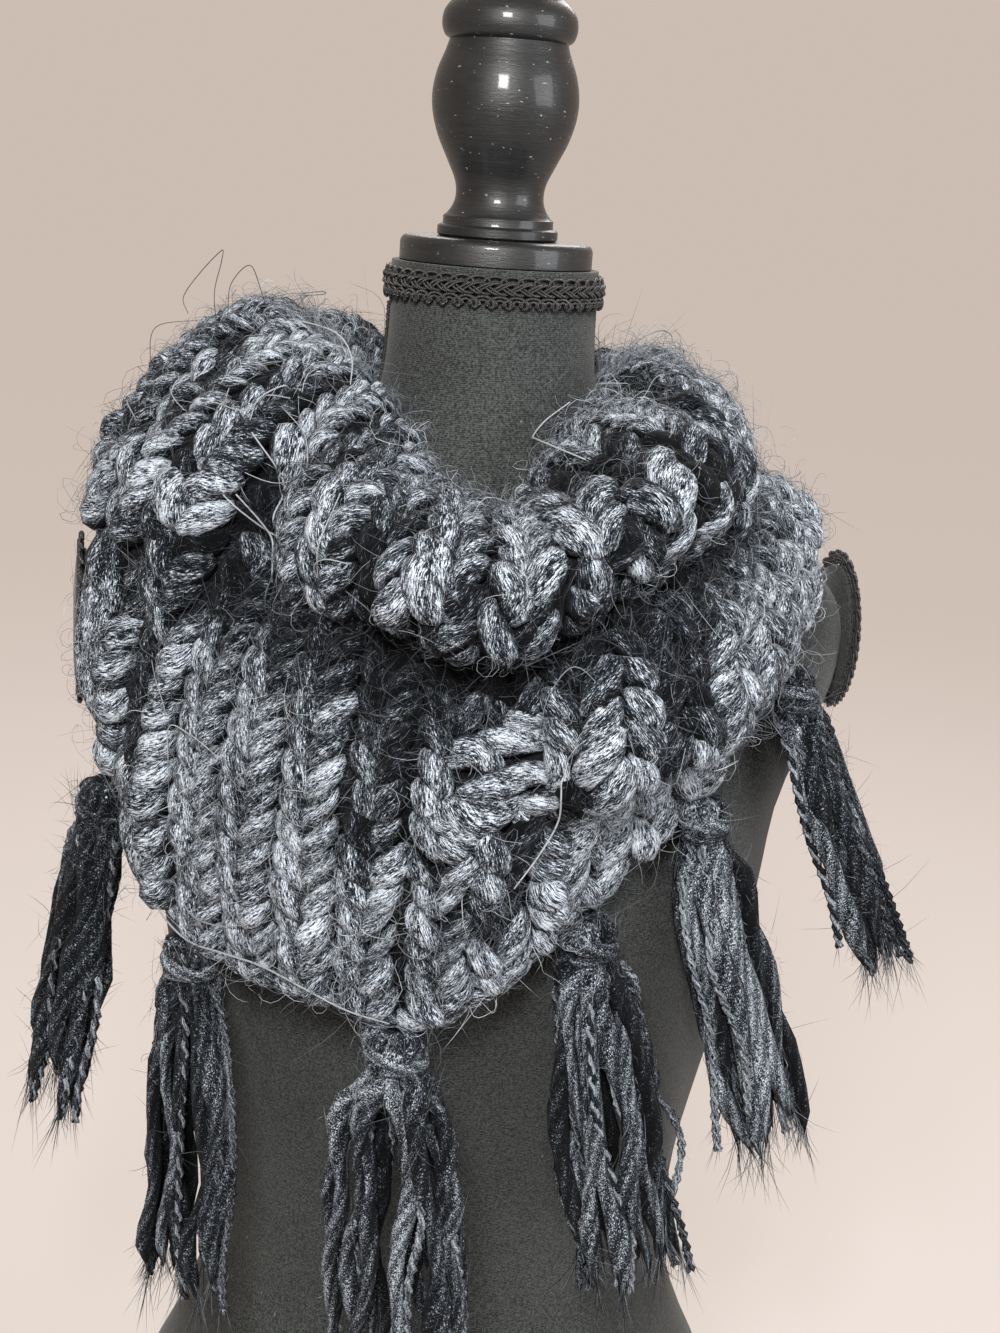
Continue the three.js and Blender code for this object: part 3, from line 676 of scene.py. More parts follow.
def gimp(length, repeats, drop):
    """Cords of one gimp braid laid out flat: along it, across it and out from it (mm)."""
    pitch = length / repeats
    cords = []

    def cord(steps, radius, path_at):
        """Adds a cord whose path is worked out from its angle `a`, one turn to a scallop."""
        t = np.arange(repeats * steps + steps // 3) / steps
        along, across, out = path_at(2 * math.pi * t)
        cords.append((np.stack([pitch * (t + along), across, out + 0 * t], 1), radius))

    sin, cos = np.sin, np.cos
    cord(14, 0.95, lambda a: (0.36 * sin(a), drop * (0.5 * cos(a) - 0.5) - 2.0, 1.2 + 0.5 * sin(a)))
    cord(12, 0.7, lambda a: (0.2 * sin(2 * a), 1.3 * cos(2 * a) - 0.55 * drop - 2.0, 1.9))
    cord(12, 0.85, lambda a: (0.4 * sin(a + 2), 2.0 * cos(a + 2) + 5.1, 1.2 + 0.4 * sin(a)))
    for turn in (0, 0.7, 2.094, 2.794, 4.189, 4.889):
        cord(6, 0.66, lambda a: (0, 2.5 * sin(a / 3 + turn) + 1.5, 1.8 + 0.8 * sin(2 * (a / 3 + turn))))
    return cords


def wrapped(name, cords, place, replaced):
    """Bends flat cords onto the form with `place(along, across, out)` and joins them."""
    families = []
    for path, radius in cords:
        points = place(*path.T)
        outward = unit(place(path[:, 0], path[:, 1], path[:, 2] + 1.0) - points)
        radii = np.full((1, len(points)), radius)
        families.append((swept(points[None], radii, outward[None], CORD_SIDES), [0.5]))
    return joined_piece(name, families, braid_paint, [replaced])


NECK_BRAID_Z, NECK_BRAID_RADIUS, NECK_SKIN = 706.0, 51.5, 50.9


def round_neck(along, across, out):
    angle, radius = along / NECK_BRAID_RADIUS + math.pi, NECK_SKIN + out
    return np.stack([radius * np.sin(angle), -radius * np.cos(angle), NECK_BRAID_Z + across], -1)


neck_cords = gimp(2 * math.pi * NECK_BRAID_RADIUS, 42, 5.2)
wrapped("neck_braid", neck_cords, round_neck, "neck_trim")

# %% [markdown]
# An armhole plate is an oval board padded a little and covered with the same black cloth, so it
# is a low dome. Its half outline is spun, stretched to the oval and turned to face sideways.

# %% Armhole plates
PLATE_Z, PLATE_HIGH, PLATE_WIDE = 538.0, 34.0, 27.0
PLATE_DOME = [
    # share of the plate's half size, and thickness (mm)
    (0, 0), (0.985, 0), (1.0, 0.8), (1.0, 2.6), (0.985, 3.6), (0.94, 4.4), (0.8, 5.2), (0.55, 5.8),
    (0.28, 6.0), (0, 6.0),
]
for side, word in ((-1, "right"), (1, "left")):
    plate = turned(f"arm_plate_{word}_dome", [(r / MM, h) for r, h in PLATE_DOME], 0.0)
    plate.scale = (PLATE_HIGH * MM, PLATE_WIDE * MM, 1)
    plate.rotation_euler = (0, side * math.pi / 2, 0)
    plate.location = (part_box(f"arm_plate_{word}")[0 if side > 0 else 1].x, 0, PLATE_Z * MM)
    settle(plate)
    finish_piece(plate, f"arm_plate_{word}_dome", cover_paint, [f"arm_plate_{word}"])
    reach = ARM_PLANE / MM + 0.6
    oval = math.pi * (PLATE_HIGH + PLATE_WIDE + 6)

    def round_plate(along, across, out, side=side):
        angle = side * along * 2 * math.pi / oval - math.pi / 2
        edge = 3.4 - 0.62 * across
        y, z = (PLATE_WIDE + edge) * np.cos(angle), PLATE_Z + (PLATE_HIGH + edge) * np.sin(angle)
        return np.stack([side * (reach + out * 1.1 + 0.9), y, z], -1)

    wrapped(f"arm_braid_{word}", gimp(oval, 24, 4.6), round_plate, f"arm_trim_{word}")

# %% [markdown]
# The cover's two side seams run down the neck and out over the shoulders. A thin twisted cord is
# sewn into each. It follows the skin's own width at every height, so it lies on it all the way.

# %% Side seam cords
CORD_RADIUS = 0.75
seam_heights = np.concatenate([np.arange(696, 620, -1.2), np.arange(620, 574, -0.7)])
seams = []
for side in (-1, 1):
    beside = side * (half_width(seam_heights * MM) / MM + 0.5)
    base = np.stack([beside, -forward_of(seam_heights * MM) / MM, seam_heights], 1)
    steps = np.append(0, np.cumsum(np.linalg.norm(np.diff(base, axis=0), axis=1)))
    tangent = unit(np.gradient(base, axis=0))
    out = unit(np.cross(tangent, (0, side, 0)))
    out = out * np.sign((out * (side, 0, 0.6)).sum(1))[:, None]
    for phase in (0, math.pi):
        twist = 1.7 * steps + phase
        path = base + CORD_RADIUS * (np.cos(twist)[:, None] * out + np.sin(twist)[:, None] * (0, 1, 0))
        radii = np.full((1, len(path)), CORD_RADIUS)
        seams.append((swept(path[None], radii, out[None], CORD_SIDES), [0.5]))
joined_piece("side_seam_cords", seams, braid_paint)

# %% [markdown]
# ## How the scarf hangs
#
# The scarf is a tube of knitting pulled over the form. It rolls over on itself round the neck and
# spreads in a pointed bib over the front. Each row below is one upright section of it, at an angle
# from the front: the middle of the knitted wall, from the edge by the neck, over the crest and
# down the roll, into the valley behind the roll's lip, and down the chest to the hem. Curves run
# through the sections both ways, so the cloth is smooth between them.

# %% The scarf's sections
SECTION_POINTS = ["edge", "crest", "brow", "belly", "lip", "valley", "chest", "fold", "tuck", "hem"]
SCARF_SECTIONS = [
    # degrees from the front, then radius and height of each point (mm)
    (-158, (69, 626), (84, 671), (102, 669), (122, 648), (126, 622),
     (122, 610), (124, 596), (132, 578), (136, 564), (138, 552)),
    (-133, (71, 632), (92, 681), (115, 681), (142, 660), (154, 634),
     (152, 614), (162, 600), (168, 588), (170, 577), (171, 569)),
    (-118, (71, 636), (98, 686), (124, 685), (154, 660), (168, 636),
     (174, 618), (180, 606), (184, 596), (186, 588), (187, 580)),
    (-101, (70, 639), (98, 686), (124, 684), (154, 658), (168, 637),
     (174, 626), (178, 620), (180, 615), (181, 610), (182, 605)),
    (-84, (68, 640), (92, 680), (120, 678), (152, 652), (171, 624),
     (177, 606), (181, 600), (182, 596), (182, 592), (182, 588)),
    (-79, (67, 640), (90, 678), (118, 675), (150, 651), (172, 620),
     (180, 596), (187, 578), (188.5, 563), (188.5, 549), (188.5, 534)),
    (-74, (66, 640), (88, 674), (116, 671), (148, 647), (171, 615),
     (179, 586), (185, 558), (186, 531), (185, 506), (181, 480)),
    (-65, (65, 638), (84, 668), (111, 663), (143, 640), (166, 608),
     (175, 578), (178, 546), (179, 512), (176, 470), (169, 426)),
    (-54, (64, 637), (78, 657), (101, 650), (120, 626), (134, 599),
     (149, 569), (163, 539), (173, 502), (174, 455), (166, 408)),
    (-42, (68, 629), (77, 643), (106, 641), (142, 620), (150, 591),
     (147, 567), (160, 538), (170, 500), (171, 450), (164, 401)),
    (-30, (73, 600), (82, 627), (115, 630), (163, 608), (168, 581),
     (145, 565), (157, 538), (168, 500), (170, 450), (163, 399)),
    (-19, (77, 582), (87, 614), (122, 621), (173, 600), (173, 573),
     (144, 560), (155, 537), (168, 499), (168, 450), (160, 391)),
    (-8, (80, 568), (90, 607), (128, 613), (181, 592), (177, 567),
     (144, 557), (154, 536), (167, 498), (166, 452), (156, 404)),
    (10, (70, 590), (74, 630), (112, 640), (174, 622), (170, 600),
     (143, 582), (161, 562), (178, 512), (148, 500), (142, 438)),
    (27, (63, 630), (66, 652), (100, 660), (156, 638), (152, 611),
     (137, 597), (157, 581), (175, 526), (143, 511), (141, 472)),
    (44, (61, 641), (68, 667), (94, 670), (136, 646), (140, 613),
     (130, 600), (150, 583), (165, 555), (146, 540), (147, 514)),
    (60, (62, 643), (74, 674), (96, 673), (122, 651), (127, 623),
     (125, 610), (143, 598), (158, 576), (158, 560), (157, 547)),
    (82, (65, 642), (78, 675), (98, 672), (117, 651), (122, 635),
     (124, 624), (140, 617), (154, 610), (161, 606), (165, 601)),
    (100, (67, 640), (81, 674), (100, 671), (119, 649), (122, 628),
     (123, 616), (140, 609), (154, 600), (162, 592), (168, 584)),
    (112, (68, 639), (81, 673), (100, 671), (120, 648), (124, 625),
     (122, 611), (138, 602), (154, 592), (162, 582), (168, 567)),
    (120, (68, 637), (82, 671), (101, 669), (121, 645), (123, 620),
     (121, 607), (134, 597), (148, 584), (154, 572), (161, 562)),
    (147, (68, 631), (80, 668), (98, 666), (119, 642), (120, 617),
     (116, 605), (119, 591), (126, 572), (128, 559), (127, 546)),
    (175, (69, 619), (80, 668), (98, 666), (118, 642), (119, 617),
     (116, 605), (117, 591), (125, 572), (128, 557), (128, 545)),
]
CREASES = [
    # from and to (degrees, radius, height), depth, reach (mm)
    ((-81, 126, 674), (-92, 176, 622), 8, 17),
    ((-57, 140, 600), (-68, 182, 560), 8, 18),
    ((-27, 95, 640), (-27, 174, 570), 7, 17),
    ((3, 80, 640), (5, 180, 596), 8, 18),
    ((31, 78, 668), (35, 158, 600), 7, 17),
    ((-62, 182, 536), (-50, 176, 440), 6, 18),
    ((-12, 160, 540), (6, 180, 470), 6, 18),
    ((72, 90, 686), (84, 128, 630), 6, 17),
    ((118, 92, 680), (112, 128, 625), 6, 17),
    ((152, 90, 674), (158, 126, 612), 7, 18),
    ((200, 90, 674), (192, 130, 612), 6, 18),
    ((236, 104, 690), (228, 160, 620), 7, 18),
]
WALES = 36  # columns of stitches round the scarf
WALE = 360 / WALES  # degrees to a column
WALL = 8.0  # thickness of the knitted wall under its ribs
SEAT = 0.9  # least clearance over the form
SHOULDERS = (540, 716)  # heights between which the cloth can lie on the form
SPANS = len(SECTION_POINTS) - 1
GRID_COLUMNS, SPAN_ROWS = 288, 12


def from_front(degrees):
    """The same angle, between -180 and 180."""
    return (degrees + 180) % 360 - 180


def round_form(degrees, radius, height):
    """Points at an angle from the front, a radius and a height."""
    angle = np.radians(degrees)
    return np.stack([radius * np.sin(angle), -radius * np.cos(angle), height + 0 * angle], -1)


def scarf_knots(degrees):
    """The ten section points at each angle, from smooth tables run once round the form."""
    table = [SCARF_SECTIONS[-1], *SCARF_SECTIONS, SCARF_SECTIONS[0]]
    angles = np.array([row[0] for row in table], float)
    angles[0] -= 360
    angles[-1] += 360
    values = np.array([row[1:] for row in table], float)
    turned_round = (degrees - SCARF_SECTIONS[0][0]) % 360 + SCARF_SECTIONS[0][0]
    knots = [
        [smooth_table(angles, values[:, point, axis])(turned_round) for axis in (0, 1)]
        for point in range(SPANS + 1)
    ]
    return np.moveaxis(np.array(knots), 2, 0)


def crease_depth(points):
    """How far the creases sink the cloth at each point."""
    total = np.zeros(points.shape[:-1])
    for start, end, depth, reach in CREASES:
        a, b = (round_form(*place) for place in (start, end))
        share = np.clip((points - a) @ (b - a) / ((b - a) @ (b - a)), 0, 1)
        away = np.linalg.norm(points - a - share[..., None] * (b - a), axis=-1)
        total += depth * np.exp(-((away / reach) ** 2))
    return total


def shoulder_height(x, y):
    """Height of the form under a point, or 0 beside it."""
    inside = np.zeros(x.shape)
    for level in np.arange(*SHOULDERS, 1.0):
        wide, deep, ahead = (float(f(level * MM)) / MM for f in (half_width, half_depth, forward_of))
        inside = np.where(np.hypot(x / wide, (y + ahead) / deep) < 1, level, inside)
    return inside


grid_degrees = np.arange(GRID_COLUMNS) * 360 / GRID_COLUMNS
profiles = smooth_path(scarf_knots(grid_degrees), SPAN_ROWS)
along_profile = unit(np.gradient(profiles, axis=1))
middle = round_form(grid_degrees[:, None], profiles[..., 0], profiles[..., 1])
sink = crease_depth(middle)
cloth = round_form(
    grid_degrees[:, None],
    profiles[..., 0] + sink * along_profile[..., 1],
    profiles[..., 1] - sink * along_profile[..., 0],
)
least = shoulder_height(cloth[..., 0], cloth[..., 1]) + SEAT + WALL / 2
cloth[..., 2] = np.maximum(cloth[..., 2], least)


def normals_of(grid):
    """Outward directions of a grid of points, evened out a little round the form."""
    around = np.roll(grid, -1, 0) - np.roll(grid, 1, 0)
    normals = unit(np.cross(np.gradient(grid, axis=1), around))
    for _ in range(2):
        normals = unit(2 * normals + np.roll(normals, 1, 0) + np.roll(normals, -1, 0))
    return normals


cloth_normals = normals_of(cloth)


def on_cloth(degrees, row, height=0.0):
    """Points at an angle, a place down the profile (0 to 9) and a height over the wall's middle."""
    column = (np.asarray(degrees, float) % 360) / 360 * GRID_COLUMNS
    level = np.clip(np.asarray(row, float) * SPAN_ROWS, 0, SPANS * SPAN_ROWS - 1e-6)
    column, level = np.broadcast_arrays(column, level)
    i, j = column.astype(int), level.astype(int)
    s, t = (column - i)[..., None], (level - j)[..., None]
    i, i2 = i % GRID_COLUMNS, (i + 1) % GRID_COLUMNS

    def mixed(grid):
        near = grid[i, j] * (1 - t) + grid[i, j + 1] * t
        far = grid[i2, j] * (1 - t) + grid[i2, j + 1] * t
        return near * (1 - s) + far * s

    normals = unit(mixed(cloth_normals))
    return mixed(cloth) + normals * np.broadcast_to(height, column.shape)[..., None], normals


# %% [markdown]
# The big folds are in the sections. Smaller creases run where the real cloth is pinched between
# two folds: each is a line of places on the cloth that sinks it a little. The stitches in a crease
# are in shadow, so how deep they lie is kept for their colour.

# %% Pinched creases
PINCHES = [
    # depth and reach (mm), then places on the cloth (degrees from the front, place down the profile)
    (9, 8, (-89, 1.6), (-86, 2.15), (-82, 2.5), (-78, 3.0), (-81, 3.4), (-89, 3.9), (-95, 5.0)),
    (8, 7, (-63, 2.2), (-64, 2.6), (-64, 2.95), (-65, 3.3), (-67, 3.7)),
    (10, 9, (-43, 1.5), (-42, 2.25), (-44, 2.6), (-51, 3.0), (-56, 3.35), (-57.5, 3.75), (-57.5, 4.15)),
    (12, 11, (-57, 4.0), (-54, 4.4), (-51, 4.6), (-50, 5.0)),
    (6, 7, (-71, 4.7), (-65, 4.5), (-61, 4.4)),
    (7, 7, (-59, 4.75), (-55, 5.08), (-58, 5.42)),
    (7, 8, (8, 2.0), (11, 2.33), (21, 2.5), (27, 3.1)),
    (9, 9, (12, 2.1), (11, 2.58), (10, 3.58), (5, 4.17)),
    (7, 8, (-104, 2.4), (-98, 3.3), (-96, 4.2)),
    (9, 8, (-24, 2.5), (-26, 3.08), (-28, 3.5), (-26, 4.25), (-26, 5.0)),
    (7, 7, (-14, 3.4), (-18, 3.75), (-20, 4.17)),
    (9, 6, (-5, 3.0), (-4, 3.6), (-6, 4.3)),
    (9, 6, (22, 3.2), (24, 3.9), (21, 4.5)),
    (8, 6, (-34, 3.4), (-36, 4.1)),
    (8, 6, (33, 3.0), (31, 3.8)),
    (7, 7, (16, 2.17), (10, 2.17), (5, 2.42)),
    (7, 8, (22, 6.6), (22, 6.25), (26, 6.1)),
    (7, 8, (44, 1.4), (38, 2.5), (41, 3.6)),
    (6, 8, (-30, 5.9), (-24, 6.6), (-27, 7.5)),
    (7, 9, (-1, 6.4), (3, 7.0), (-1, 7.8), (-6, 8.3)),
    (6, 8, (20, 5.9), (16, 6.8), (22, 7.6)),
    (7, 9, (-72, 5.7), (-66, 6.6), (-69, 7.6)),
    (7, 8, (84, 1.3), (90, 2.4), (86, 3.6)),
    (8, 9, (108, 2.2), (103, 3.2), (110, 4.1)),
    (7, 8, (138, 1.2), (131, 2.3), (135, 3.7)),
    (6, 9, (170, 1.6), (177, 2.7), (172, 3.9)),
    (8, 9, (206, 1.3), (213, 2.4), (207, 3.6)),
    (7, 8, (229, 2.3), (222, 3.2), (226, 4.2)),
]
ROOM = 1.0  # least room kept under a pinch, over the seat (mm)


def clearance(points):
    """How far outside the form points are, measured level with them (mm)."""
    level = np.clip(points[..., 2] * MM, form_heights[0], form_heights[-1])
    x, y = points[..., 0], points[..., 1] + forward_of(level) / MM
    stretch = np.hypot(x * MM / half_width(level), y * MM / half_depth(level))
    return np.hypot(x, y) * (1 - 1 / np.maximum(stretch, 1e-6))


pinched = np.zeros(cloth.shape[:2])
pinch_share = np.zeros(cloth.shape[:2])
for depth, reach, *places in PINCHES:
    degrees, rows = np.array(places, float).T
    line = smooth_path(on_cloth(degrees, rows)[0], 8)
    away = np.min([np.linalg.norm(cloth - point, axis=-1) for point in line], 0)
    share = np.exp(-((away / reach) ** 2))
    pinched = np.maximum(pinched, depth * share)
    pinch_share = np.maximum(pinch_share, share)
room = np.clip(clearance(cloth) - (SEAT + WALL / 2 + ROOM), 0, None)
cloth = cloth - np.minimum(pinched, room)[..., None] * cloth_normals
cloth[..., 2] = np.maximum(cloth[..., 2], least)
cloth_normals = normals_of(cloth)
print("cloth grid:", cloth.shape, "deepest pinch:", round(float(pinched.max()), 1), "mm")

# %% [markdown]
# ## Mohair and wool yarn
#
# The yarn is a soft dark blue-grey wool spun with a paler, shinier fibre. Close up it is streaked
# along its length: near black in the hollows, slate in the body and silvery where the long fibres
# catch the light. The streaks are noise stretched along the second UV coordinate, slanted a little
# because the yarn is twisted. Each bar's `tone` makes neighbouring stitches differ. It also carries
# painted shade in crevices, creases and under the roll, and painted light and shade that evens out
# the lamps. A larger cloud of noise makes patches differ. The tassels' loose roving isn't spun hard,
# so its streaks are shorter and broader. The back of the cloth is only ever seen in shadow, so it
# gets much darker colours as painted shade.

# %% Yarn material
def yarn_material(name, lowest, middle_tone, highest, felted=1.0):
    """Streaks of fibre along the yarn; `felted` above 1 makes them shorter and broader."""
    paint = Paint(name, roughness=0.75, specular_ior_level=0.08, sheen_weight=0.02, sheen_roughness=0.4)
    u, v = paint.uv()
    slant = u + 0.20 * v + 0.05 * paint.noise(paint.place(), 130.0, 2.0, 0.5)
    narrow = felted**-0.5
    streak = paint.streaks(30.0 * narrow * slant, 3.6 * felted * v, 0.65)
    fibre = paint.streaks(104.0 * narrow * slant, 8.5 * felted * v, 0.7)
    down = paint.noise(paint.place(), 1500.0, 2.0)
    ply = (25.13 * u + 6.5 * v + 4.0 * streak).sine()
    cloud = paint.noise(paint.place(), 22.0, 2.0, 0.5)
    light = 0.18 * streak + 0.53 * fibre + 0.15 * down + 0.02 * ply + 0.08 * cloud
    light = light + 0.065 * paint.tone() - 0.005
    paint.feed("Base Color", paint.ramp(light, [(0.436, lowest), (0.492, middle_tone), (0.557, highest)]))
    paint.bump(0.12 * ply + 0.35 * streak + 0.5 * fibre + 0.1 * down, 2.0 * MM, 0.9)
    return paint


YARN_COLOURS = [(0.0010, 0.0014, 0.002), (0.026, 0.033, 0.044), (0.54, 0.60, 0.67)]
# The back of the cloth: much darker colours than the yarn, as painted shade.
BACK_SHADE_COLOURS = [(0.001, 0.001, 0.002), (0.006, 0.007, 0.009), (0.03, 0.035, 0.04)]
yarn_paint = yarn_material("slate_yarn", *YARN_COLOURS)
tassel_paint = yarn_material("slate_roving", *YARN_COLOURS, felted=2.6)
back_shade_paint = yarn_material("slate_yarn_back_shaded", *BACK_SHADE_COLOURS)
print("yarn materials ready")

# %% [markdown]
# ## The cloth under the stitches
#
# The scarf's own sheet is the back of the knitting: a thin shell just under the stitches that
# follows every fold, plain outside where the stitches cover it and ridged inside, as the purl
# side is. It is what the scarf would be if it were cut and laid flat.

# %% The knitted sheet
SHEET_OUT, SHEET_IN, PURL_RIDGE = 0.2, -3.0, 0.7  # over and under the wall's middle (mm)
SHEET_COLUMNS, SHEET_ROWS = 100, 50


def grid_mesh(name, layers):
    """A closed shell from two grids of points (columns x rows x 3, mm): the outer and the inner."""
    columns, rows, _ = layers[0].shape
    points = np.concatenate([layer.reshape(-1, 3) for layer in layers]) * MM
    column, row = np.divmod(np.arange(columns * (rows - 1)), rows - 1)
    here, after = column * rows + row, (column + 1) % columns * rows + row
    outer = np.stack([here, here + 1, after + 1, after], 1)
    inside = columns * rows  # number of the inner layer's first point
    inner = outer[:, ::-1] + inside
    here = np.arange(columns) * rows
    after = np.roll(here, -1)
    top = np.stack([here, after, after + inside, here + inside], 1)
    bottom = top[:, [0, 3, 2, 1]] + rows - 1
    mesh = bpy.data.meshes.new(name)
    mesh.from_pydata(points.tolist(), [], np.concatenate([outer, inner, top, bottom]).tolist())
    mesh.polygons.foreach_set("use_smooth", np.ones(len(mesh.polygons), bool))
    corners = np.empty(len(mesh.loops), np.int32)
    mesh.loops.foreach_get("vertex_index", corners)
    yarn_uv = np.stack([corners // rows % columns / 6, corners % rows / 4], 1)
    mesh.uv_layers.new(name="yarn").data.foreach_set("uv", yarn_uv.astype(np.float32).ravel())
    return add_object(name, mesh)


sheet_columns = np.arange(0, 360, 360 / SHEET_COLUMNS)[:, None]
sheet_rows = np.linspace(0, SPANS, SHEET_ROWS)[None, :]
ridge = PURL_RIDGE * np.cos(sheet_rows * 2 * math.pi * 3) * np.cos(np.radians(sheet_columns * WALES))
outer_skin, _ = on_cloth(sheet_columns, sheet_rows, SHEET_OUT)
inner_skin, _ = on_cloth(sheet_columns, sheet_rows, SHEET_IN + ridge)
cloth_sheet = grid_mesh("knitted_sheet", [outer_skin, inner_skin])
# The sheet wears the darker back colours as painted shade.
finish_piece(cloth_sheet, "knitted_sheet", back_shade_paint, ["scarf_roll", "scarf_bib"])

# %% [markdown]
# ## The stitches
#
# Stocking stitch shows columns of V shapes, and each V is two plump legs of one loop. The legs are
# laid column by column down the cloth. How tall a row is depends on how far the cloth is spread,
# so rows are counted off along the real length of each column. A leg starts wide of the column's
# middle, rises out of the stitch above, swells, and dives under at the point of its V. Hand
# knitting is never even, so slow wandering numbers make whole patches lean, swell or tangle.

# %% Laying stitches on the cloth
rng = np.random.default_rng(7)
ROW_SHARE, ROW_LEAST, ROW_MOST = 0.50, 9.0, 13.6  # a row's height: share of a column's width, mm
MOST_ROWS = 40
LEG_RINGS, LEG_SIDES = 9, 8
CREVICE_SHADE = 2.7  # painted shade: how much darker the inner side of a stitch is, where light hardly reaches
SEAM = float(SECTION_POINTS.index("valley"))
DEEPEST = 4.6  # how far under the wall's middle a stitch may reach, clear of the form
TWIST_PATCH = ((-16.5, 6.3), (1.0, 7.35))  # corners of the patch of sideways stitches


def column_rows(degrees):
    """Places down the profile of each row of stitches in a column, one entry a row's edge."""
    rows = np.linspace(0, SPANS, 400)
    line, _ = on_cloth(degrees, rows)
    left, right = (on_cloth(degrees + side * WALE / 2, rows)[0] for side in (-1, 1))
    height = np.clip(ROW_SHARE * np.linalg.norm(right - left, axis=1), ROW_LEAST, ROW_MOST)
    steps = np.linalg.norm(np.diff(line, axis=0), axis=1) / ((height[1:] + height[:-1]) / 2)
    counted = np.append(0, np.cumsum(steps))
    total = round(counted[-1])
    return lambda count: np.interp(count * counted[-1] / total, counted, rows), total


def smooth_random(seed, reach):
    """Numbers of about unit size, column by row, that change slowly from place to place."""
    values = np.random.default_rng(seed).normal(size=(WALES, MOST_ROWS))
    for axis in (0, 1):
        values = sum(np.roll(values, step, axis) for step in range(-reach, reach + 1))
        values = values / math.sqrt(2 * reach + 1)
    return values


wander, swell = smooth_random(3, 2), smooth_random(5, 1)
tangle = 1 + 0.5 * np.clip(smooth_random(9, 2), -1.0, 1.8)


def in_shadow(degrees, row):
    """Nearly 1 deep in a pinch or in the valley under the roll, 0 out on the open cloth."""
    column = round(degrees / 360 * GRID_COLUMNS) % GRID_COLUMNS
    pinch = pinch_share[column, min(round(row * SPAN_ROWS), SPANS * SPAN_ROWS)]
    under = math.exp(-(((row - SEAM - 0.25) / 0.75) ** 2))
    overhang = 0.22 + 0.78 * math.exp(-((from_front(degrees) / 40) ** 2))
    return max(0.6 * pinch, under * overhang)


def painted_light_and_shade(degrees, row):
    """Painted light and shade that evens out the lamps.

    Darker on the front of the roll, which faces the key lamp, and paler low on the bib on the side away
    from it.
    """
    if row < SEAM:
        return -0.14 * math.exp(-((from_front(degrees) / 40) ** 2))
    return 0.08 * math.exp(-(((from_front(degrees) - 40) / 30) ** 2))


def in_twist(degrees, row):
    """Whether a leg would lie in the patch of sideways stitches."""
    (left, high), (right, low) = TWIST_PATCH
    return left < from_front(degrees) < right and high < row < low


def lay_legs(first, last):
    """Paths, radii and upward directions of the legs between two places down the profile."""
    t = np.linspace(0, 1, LEG_RINGS)
    inward = 0.34 * t * t * (3 - 2 * t)  # how far a leg runs in to the column's middle
    arch = 0.2 * t + 0.85 * np.sin(math.pi * t**0.85) - 0.5
    paths, radii, ups, tones = [], [], [], []
    for wale in range(WALES):
        middle = WALE * (wale + 0.5)
        place_of, count = column_rows(middle)
        for row in range(count):
            centre = float(place_of(row + 0.5))
            if not first <= centre < last:
                continue
            edges, _ = on_cloth([middle - WALE / 2, middle + WALE / 2], [centre, centre])
            room = min(max(0.24 * float(np.linalg.norm(edges[1] - edges[0])), 3.2), 9.5)
            for side in (-1, 1):
                place = (middle + 3 * side, centre)
                if in_twist(*place):
                    continue
                rough, drift = tangle[wale, row], 0.08 * wander[wale, row]
                size = room * (1 + 0.08 * swell[wale, row] + rough * rng.normal(0, 0.06))
                lean = rough * rng.normal(0, 0.05) * (t - 0.5)
                spread = side * (0.38 - inward) + drift + rough * rng.normal(0, 0.03) + lean
                down = row - 0.22 + 1.48 * t + rough * rng.normal(0, 0.05)
                radius = size * (0.42 + 0.58 * np.sin(math.pi * t) ** 0.6)
                height = np.maximum(size * (arch + rough * rng.normal(0, 0.08)), radius - DEEPEST)
                at = place_of(np.clip(down, 0, count))
                points, normals = on_cloth(middle + WALE * spread, at, height)
                paths.append(points)
                ups.append(normals)
                radii.append(radius)
                # A leg's tone: a random shade, less painted shade in pinches and under the roll, plus
                # painted light and shade that evens out the lamps.
                tones.append(0.5 + 0.16 * rng.normal() - 2.6 * in_shadow(*place) + painted_light_and_shade(*place))
    return np.array(paths), np.array(radii), np.array(ups), np.clip(tones, -2.1, 1)


def leg_family(laid):
    paths, radii, ups, tones = laid
    return swept(paths, radii, ups, LEG_SIDES, 0.92, -math.pi / 2, CREVICE_SHADE), tones


roll_legs, bib_legs = lay_legs(0, SEAM), lay_legs(SEAM, SPANS + 1)
print("legs in the roll:", len(roll_legs[0]), "and in the bib:", len(bib_legs[0]))

# %% [markdown]
# In two places the rows have slipped round, so plump stitches lie across the columns. One is the
# hollow in the roll's left peak, where they are in shadow, and one is on the chest, where they lie
# like a rope. The ordinary legs are left out on the chest, and these are laid one by one.


# %% Stitches that lie sideways
def crosswise(table, tones):
    """Legs laid one by one, each through a start, a middle and an end on the cloth."""
    t = np.linspace(0, 1, LEG_RINGS)
    paths, radii, ups = [], [], []
    for number, (size, *places) in enumerate(table):
        line = smooth_path(places, 8)
        line = line[np.round(np.linspace(0, len(line) - 1, LEG_RINGS)).astype(int)]
        radius = size * (0.38 + 0.62 * np.sin(math.pi * t) ** 0.6)
        height = size * (-0.35 + 0.9 * np.sin(math.pi * t)) + 0.7 * (number % 3)
        height = np.maximum(height, radius - DEEPEST)
        points, normals = on_cloth(*line.T, height)
        paths.append(points)
        radii.append(radius)
        ups.append(normals)
    return np.array(paths), np.array(radii), np.array(ups), np.linspace(*tones, len(table))


